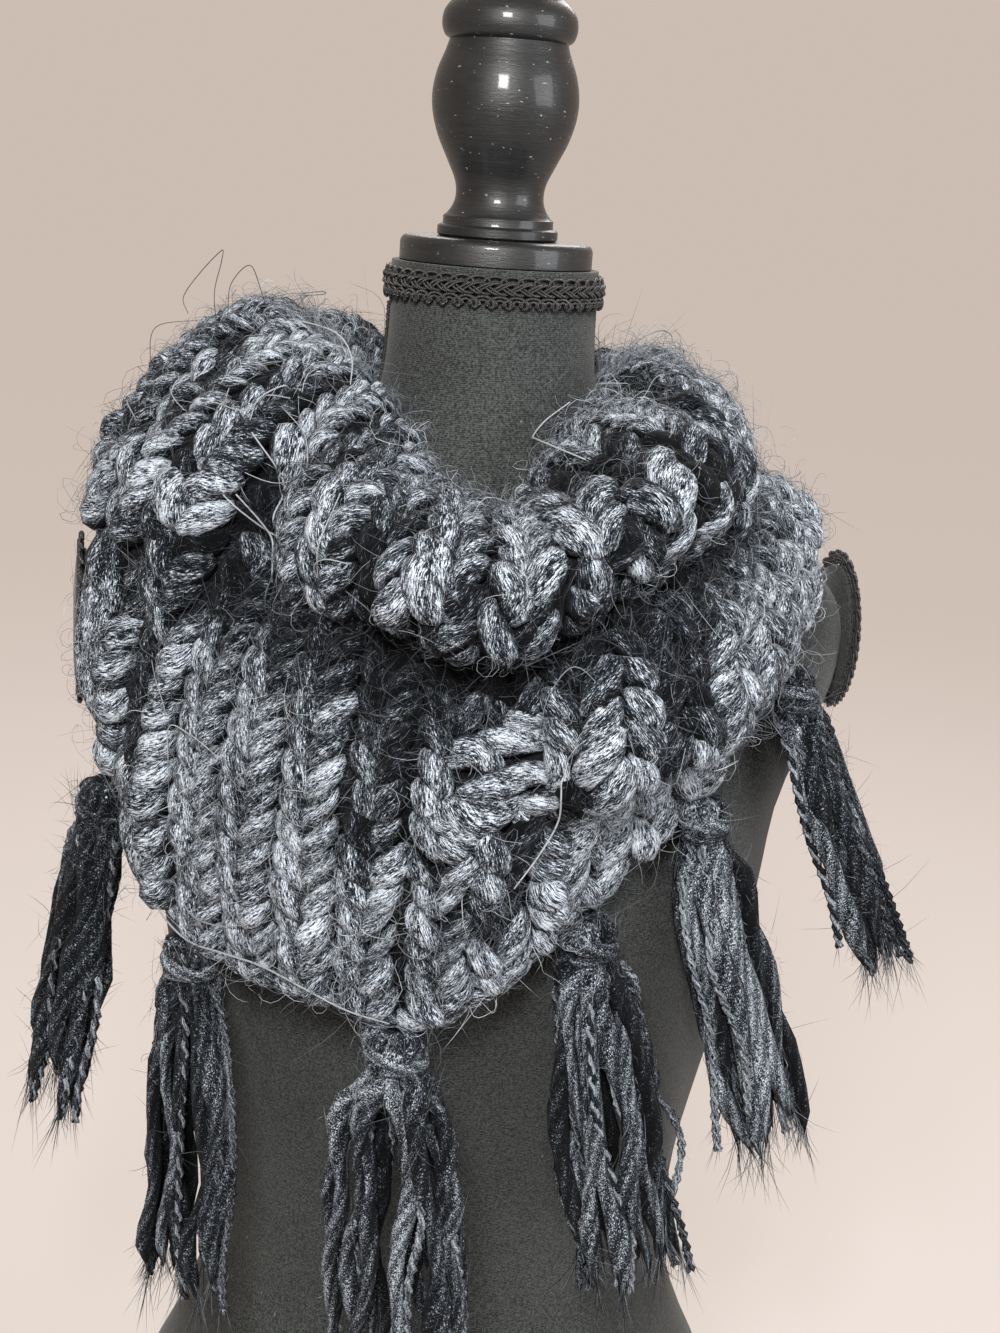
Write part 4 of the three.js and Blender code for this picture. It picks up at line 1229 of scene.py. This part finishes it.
HOLLOW_LEGS = [
    # half thickness (mm), then start, middle and end (degrees, place down the profile)
    (6.6, (-57, 3.3), (-54.5, 3.45), (-51.5, 3.7)),
    (6.6, (-57.5, 3.7), (-55, 3.85), (-52, 4.1)),
    (6.6, (-56.5, 4.1), (-53.5, 4.3), (-50.5, 4.5)),
    (6.6, (-55, 4.5), (-52.5, 4.65), (-49.5, 4.9)),
]
SIDEWAYS = [
    (8.2, (-16, 6.62), (-11, 6.48), (-6, 6.68)),
    (8.0, (-13, 6.98), (-8, 6.84), (-1, 6.72)),
    (8.2, (-15.5, 6.98), (-10, 7.14), (-3, 6.95)),
    (6.0, (-17, 7.15), (-14, 7.19), (-11.5, 7.17)),
    (7.2, (-15, 7.27), (-11, 7.28), (-6.5, 7.26)),
    (6.4, (-16, 7.35), (-13, 7.42), (-10.5, 7.48)),
    (7.6, (-11, 6.38), (-5, 6.33), (1, 6.44)),
    (5.8, (-7, 6.15), (-3, 6.13), (0, 6.22)),
    (7.6, (0, 6.46), (2.6, 6.72), (0.5, 7.02)),
    (6.6, (-4.5, 7.1), (-2, 7.28), (-5, 7.5)),
    (6.2, (-7, 6.8), (-2.5, 6.72), (2, 6.82)),
    (6.2, (-4, 7.06), (-0.5, 7.02), (3, 7.12)),
]
# The legs in the hollow get low tones, -0.6 to -1.2, as painted shade.
roll_families = [leg_family(roll_legs), leg_family(crosswise(HOLLOW_LEGS, (-0.6, -1.2)))]
bib_families = [leg_family(bib_legs), leg_family(crosswise(SIDEWAYS, (0.45, 0.75)))]
roll_stitches = joined_piece("roll_stitches", roll_families, yarn_paint)
bib_stitches = joined_piece("bib_stitches", bib_families, yarn_paint)

# %% [markdown]
# The cloth's two edges are cast off: a chain of plump loops lying along the edge, two to a column.
# They close the ends of the V columns, and the tassels hang from the lower one.

# %% Cast-off edges
EDGE_RINGS, EDGE_SIDES = 8, 7


def edge_chain(row, height, thickness, seed):
    """A chain of sideways loops along the cloth at one place down its profile."""
    noise = np.random.default_rng(seed)
    count = 2 * WALES
    t = np.linspace(0, 1, EDGE_RINGS)
    starts = np.arange(count) * WALE / 2 + noise.normal(0, 0.25, count)
    degrees = starts[:, None] + (t - 0.14) * 1.28 * WALE / 2
    line, _ = on_cloth(degrees, row)
    pitch = np.hypot(line[..., 0], line[..., 1]).mean(1) * 2 * math.pi / WALES
    size = np.clip(thickness * pitch, 2.8, 6.3) * (1 + noise.normal(0, 0.06, count))
    rise = height + size[:, None] * (0.55 * (t - 0.5) + noise.normal(0, 0.05, (count, 1)))
    points, normals = on_cloth(degrees, row, rise)
    radii = size[:, None] * (0.4 + 0.6 * np.sin(math.pi * t) ** 0.6)
    tones = np.clip(0.5 + 0.25 * noise.normal(size=count), 0, 1)
    return swept(points, radii, normals, EDGE_SIDES, 0.95, -math.pi / 2, CREVICE_SHADE), tones


chains = [edge_chain(0.02, 0.5, 0.20, 21), edge_chain(SPANS - 0.04, 0.6, 0.23, 22)]
edge_stitches = joined_piece("edge_stitches", chains, yarn_paint)

# %% [markdown]
# ## Tassels
#
# Each tassel is a bundle of cut yarns folded over the edge and knotted. Soft rovings start at the
# top of the knot, swell over it, pinch in under two wraps and fall in a slight wave. They are
# felted unevenly, so each swells into puffs along its way. A few hard-twisted cords of two plies
# hang among them, and every end opens into a brush of loose fibres. All the parts of one tassel
# are bars, joined into one piece, and the tassel leans and spreads as its own row says.

# %% The tassels' sizes
TASSELS = {
    # degrees, length, lean of the tips along x and y, spread (mm)
    "tassel_front_centre": (-20, 182, (12, 0), 68),
    "tassel_front_right": (-58, 192, (0, -4), 60),
    "tassel_side_right": (-76, 172, (-24, 4), 50),
    "tassel_shoulder_right": (-120, 152, (0, 6), 34),
    "tassel_front_left": (12, 192, (38, -8), 62),
    "tassel_side_left": (36, 182, (56, -6), 60),
    "tassel_shoulder_left": (59, 158, (68, -8), 50),
    "tassel_back_left": (121, 160, (6, 14), 44),
    "tassel_back_centre_left": (142, 160, (0, 8), 44),
    "tassel_back_centre_right": (180, 160, (0, 8), 44),
    "tassel_back_right": (213, 160, (-4, 10), 44),
}
HEAD_WIDE, HEAD_DEEP, HEAD_HIGH = 15.5, 11.0, 33.0  # half width, half depth and height (mm)
HEAD_OUTSIDE = 2.0  # how far a head hangs outside the hem's middle
KNOT = [
    # drop as a share of the head's height, reach along and away from the hem as shares of its size
    (0.04, 0.25, 0.30),
    (0.18, 0.82, 0.85),
    (0.34, 0.76, 0.80),
    (0.52, 0.52, 0.62),
    (0.78, 0.92, 0.95),
]
WRAPS = [
    # share of the head's height, slant and half thickness (mm)
    (0.40, 2.4, 3.6),
    (0.55, -1.8, 2.2),
]
WRAP_RINGS, BAR_SIDES = 22, 7
ROVINGS, ROVING_RINGS = 14, 25
TWISTED, TWISTED_RINGS = 7, 80
# a ply's way off its cord's middle, its half thickness (mm), and its turns in a millimetre
PLY_RADIUS, PLY_WIDTH, PLY_TURNS = 1.28, 1.5, 0.085
# fibres at a roving's end, how far up it they start (mm), and the points on each
FRAY, FRAY_BACK, FRAY_RINGS = 16, 12.0, 4


def hanging_frame(node):
    """Top of a tassel's head, its directions along and away from the hem, and its sizes."""
    degrees, length, lean, spread = TASSELS[node]
    angle = math.radians(degrees)
    along = np.array([math.cos(angle), math.sin(angle), 0])
    outward = np.array([math.sin(angle), -math.cos(angle), 0])
    hem, _ = on_cloth(degrees, SPANS)
    reach = math.hypot(hem[0], hem[1]) + HEAD_OUTSIDE
    top = np.array([*(reach * outward[:2]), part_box(node)[1].z / MM])
    return top, along, outward, length, np.array([*lean, -length]) / length, spread


def frayed(paths, noise, each, length):
    """A brush of loose fibres at the end of each path."""
    heading = np.repeat(unit(paths[:, -1] - paths[:, -4]), each, 0)
    heading = heading + 0.11 * noise.normal(size=heading.shape)
    heading[:, 2] -= 0.4
    heading = unit(heading)
    bend = 0.28 * noise.normal(size=heading.shape)
    reach = length * noise.uniform(0.4, 1.2, (len(heading), 1))
    t = np.linspace(0, 1, FRAY_RINGS)[None, :, None]
    starts = np.repeat(paths[:, -1], each, 0) - heading * FRAY_BACK
    fibres = starts[:, None] + reach[:, None] * (heading[:, None] * t + bend[:, None] * t * t)
    fibres[..., 2] -= (reach[:, None] * 0.25 * t * t)[..., 0]
    radii = np.full(fibres.shape[:2], 0.2) * np.linspace(1, 0.6, FRAY_RINGS)
    ups = unit(np.cross(heading, (0.3, 0.5, 0.8)))[:, None]
    return swept(fibres, radii, ups, HAIR_SIDES, pointed=True)


def strand_paths(hung, noise, count, rings, fullness):
    """Paths of strands from the top of the knot to the tassel's end."""
    top, along, outward, length, fall, spread = hung
    turns = (np.arange(count) + noise.uniform(0.1, 0.9, count)) * 2 * math.pi / count
    inward = np.sqrt(noise.uniform(0.15, 1, count)) * fullness
    ends = length * (1 - np.abs(noise.normal(0, 0.07, count)) - 0.02)

    def level(reach, away, drop, shift=0.0, push=0.0):
        side = reach * np.cos(turns) * inward + shift
        front = away * np.sin(turns) * inward + push
        return top + np.outer(side, along) + np.outer(front, outward) + np.multiply.outer(drop, fall)

    points = [level(wide * HEAD_WIDE, deep * HEAD_DEEP, drop * HEAD_HIGH) for drop, wide, deep in KNOT]
    points.append(level(0.30 * spread + 0.25 * HEAD_WIDE, 0.95 * HEAD_DEEP, 1.25 * HEAD_HIGH))
    for share in (0.45, 0.63, 0.82, 1.0):
        shift, push = noise.normal(0, 2.5, count), noise.normal(0, 1.2, count)
        reach, away = (0.38 + 0.16 * share) * spread, (0.9 + 0.35 * share) * HEAD_DEEP
        points.append(level(reach, away, share * ends, shift, push))
    dense = smooth_path(np.stack(points, 1), 8)
    share = np.linspace(0, 1, rings)
    pick = share * (dense.shape[1] - 1)
    low = np.minimum(pick.astype(int), dense.shape[1] - 2)
    paths = dense[:, low] + (dense[:, low + 1] - dense[:, low]) * (pick - low)[None, :, None]
    swing = np.clip((share - 0.2) / 0.25, 0, 1) * noise.uniform(1, 4, (count, 1))
    for direction, size in ((along, 1.0), (outward, 0.35)):
        sway = np.sin(noise.uniform(14, 26, (count, 1)) * share + noise.uniform(0, 6.28, (count, 1)))
        paths = paths + size * (swing * sway)[..., None] * direction
    return paths


def plies(paths, noise):
    """Two thin strands twisted round each path."""
    tangents = unit(np.gradient(paths, axis=1))
    side = unit(np.cross(tangents, (0.1, 0.9, 0.2)))
    front = np.cross(side, tangents)
    steps = np.linalg.norm(np.diff(paths, axis=1), axis=2)
    travelled = np.concatenate([np.zeros((len(paths), 1)), np.cumsum(steps, 1)], 1)
    twist = 2 * math.pi * PLY_TURNS * travelled + noise.uniform(0, 6.28, (len(paths), 1))
    twist = np.concatenate([twist, twist + math.pi])[..., None]
    side, front, paths = (np.concatenate([x, x]) for x in (side, front, paths))
    return paths + PLY_RADIUS * (np.cos(twist) * side + np.sin(twist) * front)


def from_core(paths):
    """The way out from the middle of a bundle, at each point of its paths."""
    return unit(paths - paths.mean(0, keepdims=True))


def roving_widths(noise):
    """Half thickness of each roving along its length: it puffs up and pinches in, and then thins."""
    t = np.linspace(0, 1, ROVING_RINGS)
    puffs = 1.0
    for least, most in ((13, 19), (24, 34)):
        waves = t * noise.uniform(least, most, (ROVINGS, 1)) + noise.uniform(0, 6.28, (ROVINGS, 1))
        puffs = puffs * (0.5 + 0.5 * np.sin(waves))
    widths = noise.uniform(3.2, 4.7, (ROVINGS, 1)) + 3.2 * puffs
    widths = widths * (1 - 0.45 * np.clip((t - 0.86) / 0.14, 0, 1))
    return widths * noise.normal(1, 0.07, widths.shape)


def wrap_family(hung, noise):
    """The two turns of yarn that tie the knot."""
    top, along, outward, _, fall, _ = hung
    turns = np.linspace(0, 2 * math.pi * 1.05, WRAP_RINGS)
    circle = 0.76 * HEAD_WIDE * np.outer(np.cos(turns), along)
    circle = circle + 0.92 * HEAD_DEEP * np.outer(np.sin(turns), outward)
    drops = [at * HEAD_HIGH + slant * np.cos(turns) for at, slant, _ in WRAPS]
    rings = np.array([top + circle + np.outer(drop, fall) for drop in drops])
    widths = np.array([size * noise.uniform(0.85, 1.15, WRAP_RINGS) for _, _, size in WRAPS])
    family = swept(rings, widths, unit(rings - top - 0.49 * HEAD_HIGH * fall), BAR_SIDES, 0.8)
    return family, noise.uniform(-0.2, 0.4, len(WRAPS))


def make_tassel(node, seed):
    """A tassel's finished piece, and its rovings for the hairs to grow on."""
    noise = np.random.default_rng(seed)
    hung = hanging_frame(node)
    rovings = strand_paths(hung, noise, ROVINGS, ROVING_RINGS, 1.0)
    widths = roving_widths(noise)
    ups, tones = from_core(rovings), noise.uniform(-0.7, 0.35, ROVINGS)
    soft = swept(rovings, widths, ups[:, 1:-1], BAR_SIDES, 0.8, shade=0.6, pointed=True)
    cords = strand_paths(hung, noise, TWISTED, TWISTED_RINGS, 1.15)[:, int(0.12 * TWISTED_RINGS):]
    strands = plies(cords, noise)
    hard = swept(strands, np.full(strands.shape[:2], PLY_WIDTH), from_core(strands), HAIR_SIDES)
    families = [(soft, tones), (hard, noise.uniform(-0.6, 0.9, len(strands))), wrap_family(hung, noise)]
    for paths, each, length in ((rovings, FRAY, 23), (cords, FRAY // 2, 15)):
        brush = frayed(paths, noise, each, length)
        families.append((brush, noise.uniform(-0.5, 1.2, len(paths) * each)))
    piece = joined_piece(node + "_yarn", families, tassel_paint, [node])
    return piece, (rovings, widths, ups, tones)


made = [make_tassel(node, 100 + number) for number, node in enumerate(TASSELS)]
tassels, tassel_strands = zip(*made)

# %% [markdown]
# ## Loose fibres
#
# Mohair yarn sheds a mat of fine hairs that lie over the stitches and stand off the edges as a
# halo. A particle system could grow them, but bars keep them real shapes in any program. Each hair
# starts on the skin of a stitch, runs off roughly along the yarn, and curls at random. There are
# three coats: a short nap, bent hairs, and a few long ones that wander, pulled back whenever they
# stray too far from the cloth. The tassels' rovings have the first two. A hair has three sides
# and no more points than its curl needs, because there are tens of thousands of them.

# %% Hairs on the stitches
COATS = [
    # hairs, points on each, least and most length (mm)
    (10000, 3, 3.5, 9),
    (2900, 5, 8, 18),
]
TASSEL_COATS = [(600, 3, 3, 9), (200, 5, 8, 14)]
LONG_HAIRS, LONG_RINGS = 1650, 10
fibre_paint = Paint("silvery_fibre", roughness=0.6, specular_ior_level=0.2, sheen_weight=0.05)
fibre_stops = [(0.0, (0.010, 0.012, 0.017)), (0.5, (0.085, 0.098, 0.115)), (1.0, (0.42, 0.45, 0.47))]
fibre_paint.feed("Base Color", fibre_paint.ramp(fibre_paint.tone(), fibre_stops))


def hair_roots(laid, count, noise):
    """Random places on the yarn's outer skin, with its direction, the way out and how lit it is."""
    paths, radii, ups, tones = laid
    leg, ring = noise.integers(0, len(paths), count), noise.integers(1, paths.shape[1] - 1, count)
    tangent, up = unit(np.gradient(paths, axis=1))[leg, ring], ups[leg, ring]
    across = unit(np.cross(tangent, up))
    around = noise.uniform(-1.35, 1.35, count)[:, None]
    out = unit(np.cos(around) * up + np.sin(around) * across)
    roots = paths[leg, ring] + out * radii[leg, ring][:, None] * 0.95
    return roots, tangent, out, up, np.clip(0.85 + 0.6 * tones[leg], 0.05, 1)


def short_hairs(laid, seed, count, points, least, most):
    """Hairs with one bend, held close to the yarn."""
    noise = np.random.default_rng(seed)
    roots, tangent, out, up, lit = hair_roots(laid, count, noise)
    way = np.where(noise.random((count, 1)) < 0.5, -1, 1)
    heading = unit(way * tangent + 0.45 * noise.normal(size=(count, 3)) + 0.12 * out)
    curl = 0.9 * noise.normal(size=(count, 3))
    reach = noise.uniform(least, most, (count, 1))
    t = np.linspace(0, 1, points)[None, :, None]
    paths = roots[:, None] + reach[:, None] * (heading[:, None] * t + curl[:, None] * t * t)
    lift = np.einsum("nkc,nc->nk", paths - roots[:, None], up)
    paths = paths + (np.clip(lift, -0.6, 3.2) - lift)[..., None] * up[:, None]
    radii = noise.uniform(0.11, 0.17, (count, 1)) * np.linspace(1, 0.5, points)
    return swept(paths, radii, up[:, None], HAIR_SIDES, pointed=True), noise.beta(1.6, 2.2, count) * lit


def long_hairs(laid, seed):
    """Hairs that wander step by step."""
    noise = np.random.default_rng(seed)
    count, rings = LONG_HAIRS, LONG_RINGS
    roots, tangent, out, up, lit = hair_roots(laid, count, noise)
    heading = unit(tangent + 0.8 * noise.normal(size=(count, 3)) + 0.5 * out)
    bend = 0.7 * noise.normal(size=(count, 3))
    step = np.clip(noise.lognormal(3.45, 0.35, (count, 1)), 18, 62) / rings
    paths = [roots]
    for _ in range(rings - 1):
        lift = np.einsum("nc,nc->n", paths[-1] - roots, up)[:, None]
        bend = bend + 0.2 * noise.normal(size=(count, 3))
        pull = np.where(lift > 5, -0.10 * (lift - 5), np.where(lift < 0.5, 0.25, 0))
        heading = unit(heading + 0.5 * np.cross(bend, heading) + pull * up)
        paths.append(paths[-1] + step * heading)
    paths = np.stack(paths, 1)
    radii = noise.uniform(0.11, 0.19, (count, 1)) * np.linspace(1, 0.55, rings)
    side = unit(np.cross(heading, up) + 0.01)[:, None]
    family = swept(paths, radii, side, HAIR_SIDES, pointed=True)
    return family, (0.3 + 0.7 * noise.beta(2, 2, count)) * lit


def fuzz(name, laid, seed):
    coats = [short_hairs(laid, seed + number, *coat) for number, coat in enumerate(COATS)]
    return joined_piece(name, [*coats, long_hairs(laid, seed + 2)], fibre_paint)


roll_fuzz, bib_fuzz = fuzz("roll_fuzz", roll_legs, 31), fuzz("bib_fuzz", bib_legs, 41)
coats = []
for number, strands in enumerate(tassel_strands):
    for seed, coat in zip((51, 71), TASSEL_COATS):
        coats.append(short_hairs(strands, seed + number, *coat))
tassel_fuzz = joined_piece("tassel_fuzz", coats, fibre_paint)

# %% [markdown]
# Some threads have been pulled out of the knitting and lie over it, and a few fine loops stand off
# the top of the roll. The ones that can be seen are listed one by one, and the hidden sides get more
# of the same kind.

# %% Pulled threads
PULLED = [
    # half thickness (mm), shade, then degrees from the front, place down the profile, height (mm)
    (0.46, 0.78, (-61, 3.0, 11), (-57, 3.35, 12), (-52, 3.7, 12), (-50, 3.95, 9)),
    (0.40, 0.78, (-50, 3.9, 9), (-55, 3.98, 12), (-61, 3.83, 11), (-64, 3.6, 8)),
    (0.50, 0.78, (-61, 3.7, 10), (-59, 3.92, 13), (-56, 4.15, 14), (-54, 4.4, 13), (-53, 4.75, 9)),
    (0.37, 0.70, (-34, 2.83, 10), (-33.5, 3.2, 13), (-34, 3.6, 13), (-36, 3.92, 10)),
    (0.34, 0.70, (-36, 3.92, 10), (-35, 3.7, 14), (-32, 3.45, 12), (-30, 3.3, 9)),
    (0.46, 0.78, (3, 6.7, 9), (2, 6.95, 13), (0, 7.25, 13), (-3, 7.55, 13), (-5.5, 7.8, 10)),
    (0.37, 0.74, (-79, 1.4, 9), (-72, 1.22, 12), (-66, 1.2, 13), (-60, 1.35, 12), (-55, 1.65, 9)),
    (0.50, 0.78, (30, 0.9, 8), (24, 0.8, 12), (18, 0.9, 13), (14, 1.2, 13), (11, 1.65, 12), (10, 2.1, 9)),
    (0.37, 0.70, (-62, 2.1, 9), (-61, 2.35, 13), (-63, 2.6, 13), (-62, 2.85, 10)),
    (0.31, 0.70, (-69, 2.9, 9), (-66, 2.78, 13), (-63, 2.5, 12), (-60, 2.4, 9)),
    (0.50, 0.70, (-63, 8.3, 8), (-64, 8.6, 11), (-61, 8.85, 12), (-55, 8.9, 11), (-48, 8.8, 10),
     (-41, 8.75, 9), (-34, 8.85, 9), (-27, 8.95, 9), (-21, 8.95, 7)),
    (0.34, 0.62, (-58, 8.4, 9), (-54, 8.6, 12), (-48, 8.55, 12), (-43, 8.4, 9)),
    (0.24, 0.1, (-90, 2.3, 9), (-94, 2.1, 18), (-99, 1.9, 27), (-104, 1.9, 31), (-103, 2.2, 25),
     (-98, 2.4, 14)),
    (0.24, 0.1, (-92, 2.1, 9), (-95, 1.9, 19), (-97, 1.6, 24), (-95, 1.5, 15), (-93, 1.4, 8)),
    (0.2, 0.1, (-99, 3.4, 9), (-101, 3.2, 16), (-105, 2.9, 20), (-106, 2.5, 12)),
    (0.22, 0.3, (-112, 1.1, 9), (-108, 0.9, 17), (-103, 0.9, 19), (-99, 1.1, 10)),
]
RANDOM_PULLED = 46


def thread_family(size, tone, places):
    """One thread through places on the cloth, a little thicker in its middle."""
    points, normals = (smooth_path(line, 6) for line in on_cloth(*np.array(places, float).T))
    radii = size * (0.7 + 0.3 * np.sin(math.pi * np.linspace(0, 1, len(points))))
    return swept(points[None], radii[None], normals[None], CORD_SIDES), [tone]


def random_threads(count, seed):
    """Thin arcs of thread that leave the cloth and come back to it, all round the scarf."""
    noise = np.random.default_rng(seed)
    made = []
    for degrees, row in zip(noise.uniform(-180, 180, count), noise.uniform(1, 8.4, count)):
        turn, reach = noise.uniform(0, 6.28), noise.uniform(0.6, 1.2)
        step = np.array([7 * reach * math.cos(turn), 0.35 * reach * math.sin(turn)])
        bow = np.array([-step[1] * 14, step[0] * 0.05]) * noise.normal()
        places = [
            (degrees + k * step[0] + b * bow[0], row + k * step[1] + b * bow[1], height)
            for k, b, height in ((-1, 0, 8), (-0.4, 0.8, 12), (0.3, 1, 13), (1, 0, 8))
        ]
        made.append(thread_family(noise.uniform(0.2, 0.4), noise.uniform(0.4, 0.8), places))
    return made


threads = [thread_family(size, tone, places) for size, tone, *places in PULLED]
threads += random_threads(RANDOM_PULLED, 41)
loose_threads = joined_piece("loose_threads", threads, fibre_paint)

# %% [markdown]
# ## The worn pieces
#
# The scarf is a tube, and the stitches, edges, hairs, threads and tassels go with it: the last
# lines gather them in one list.

worn = [roll_stitches, bib_stitches, edge_stitches]
worn += [roll_fuzz, bib_fuzz, tassel_fuzz, loose_threads, *tassels]
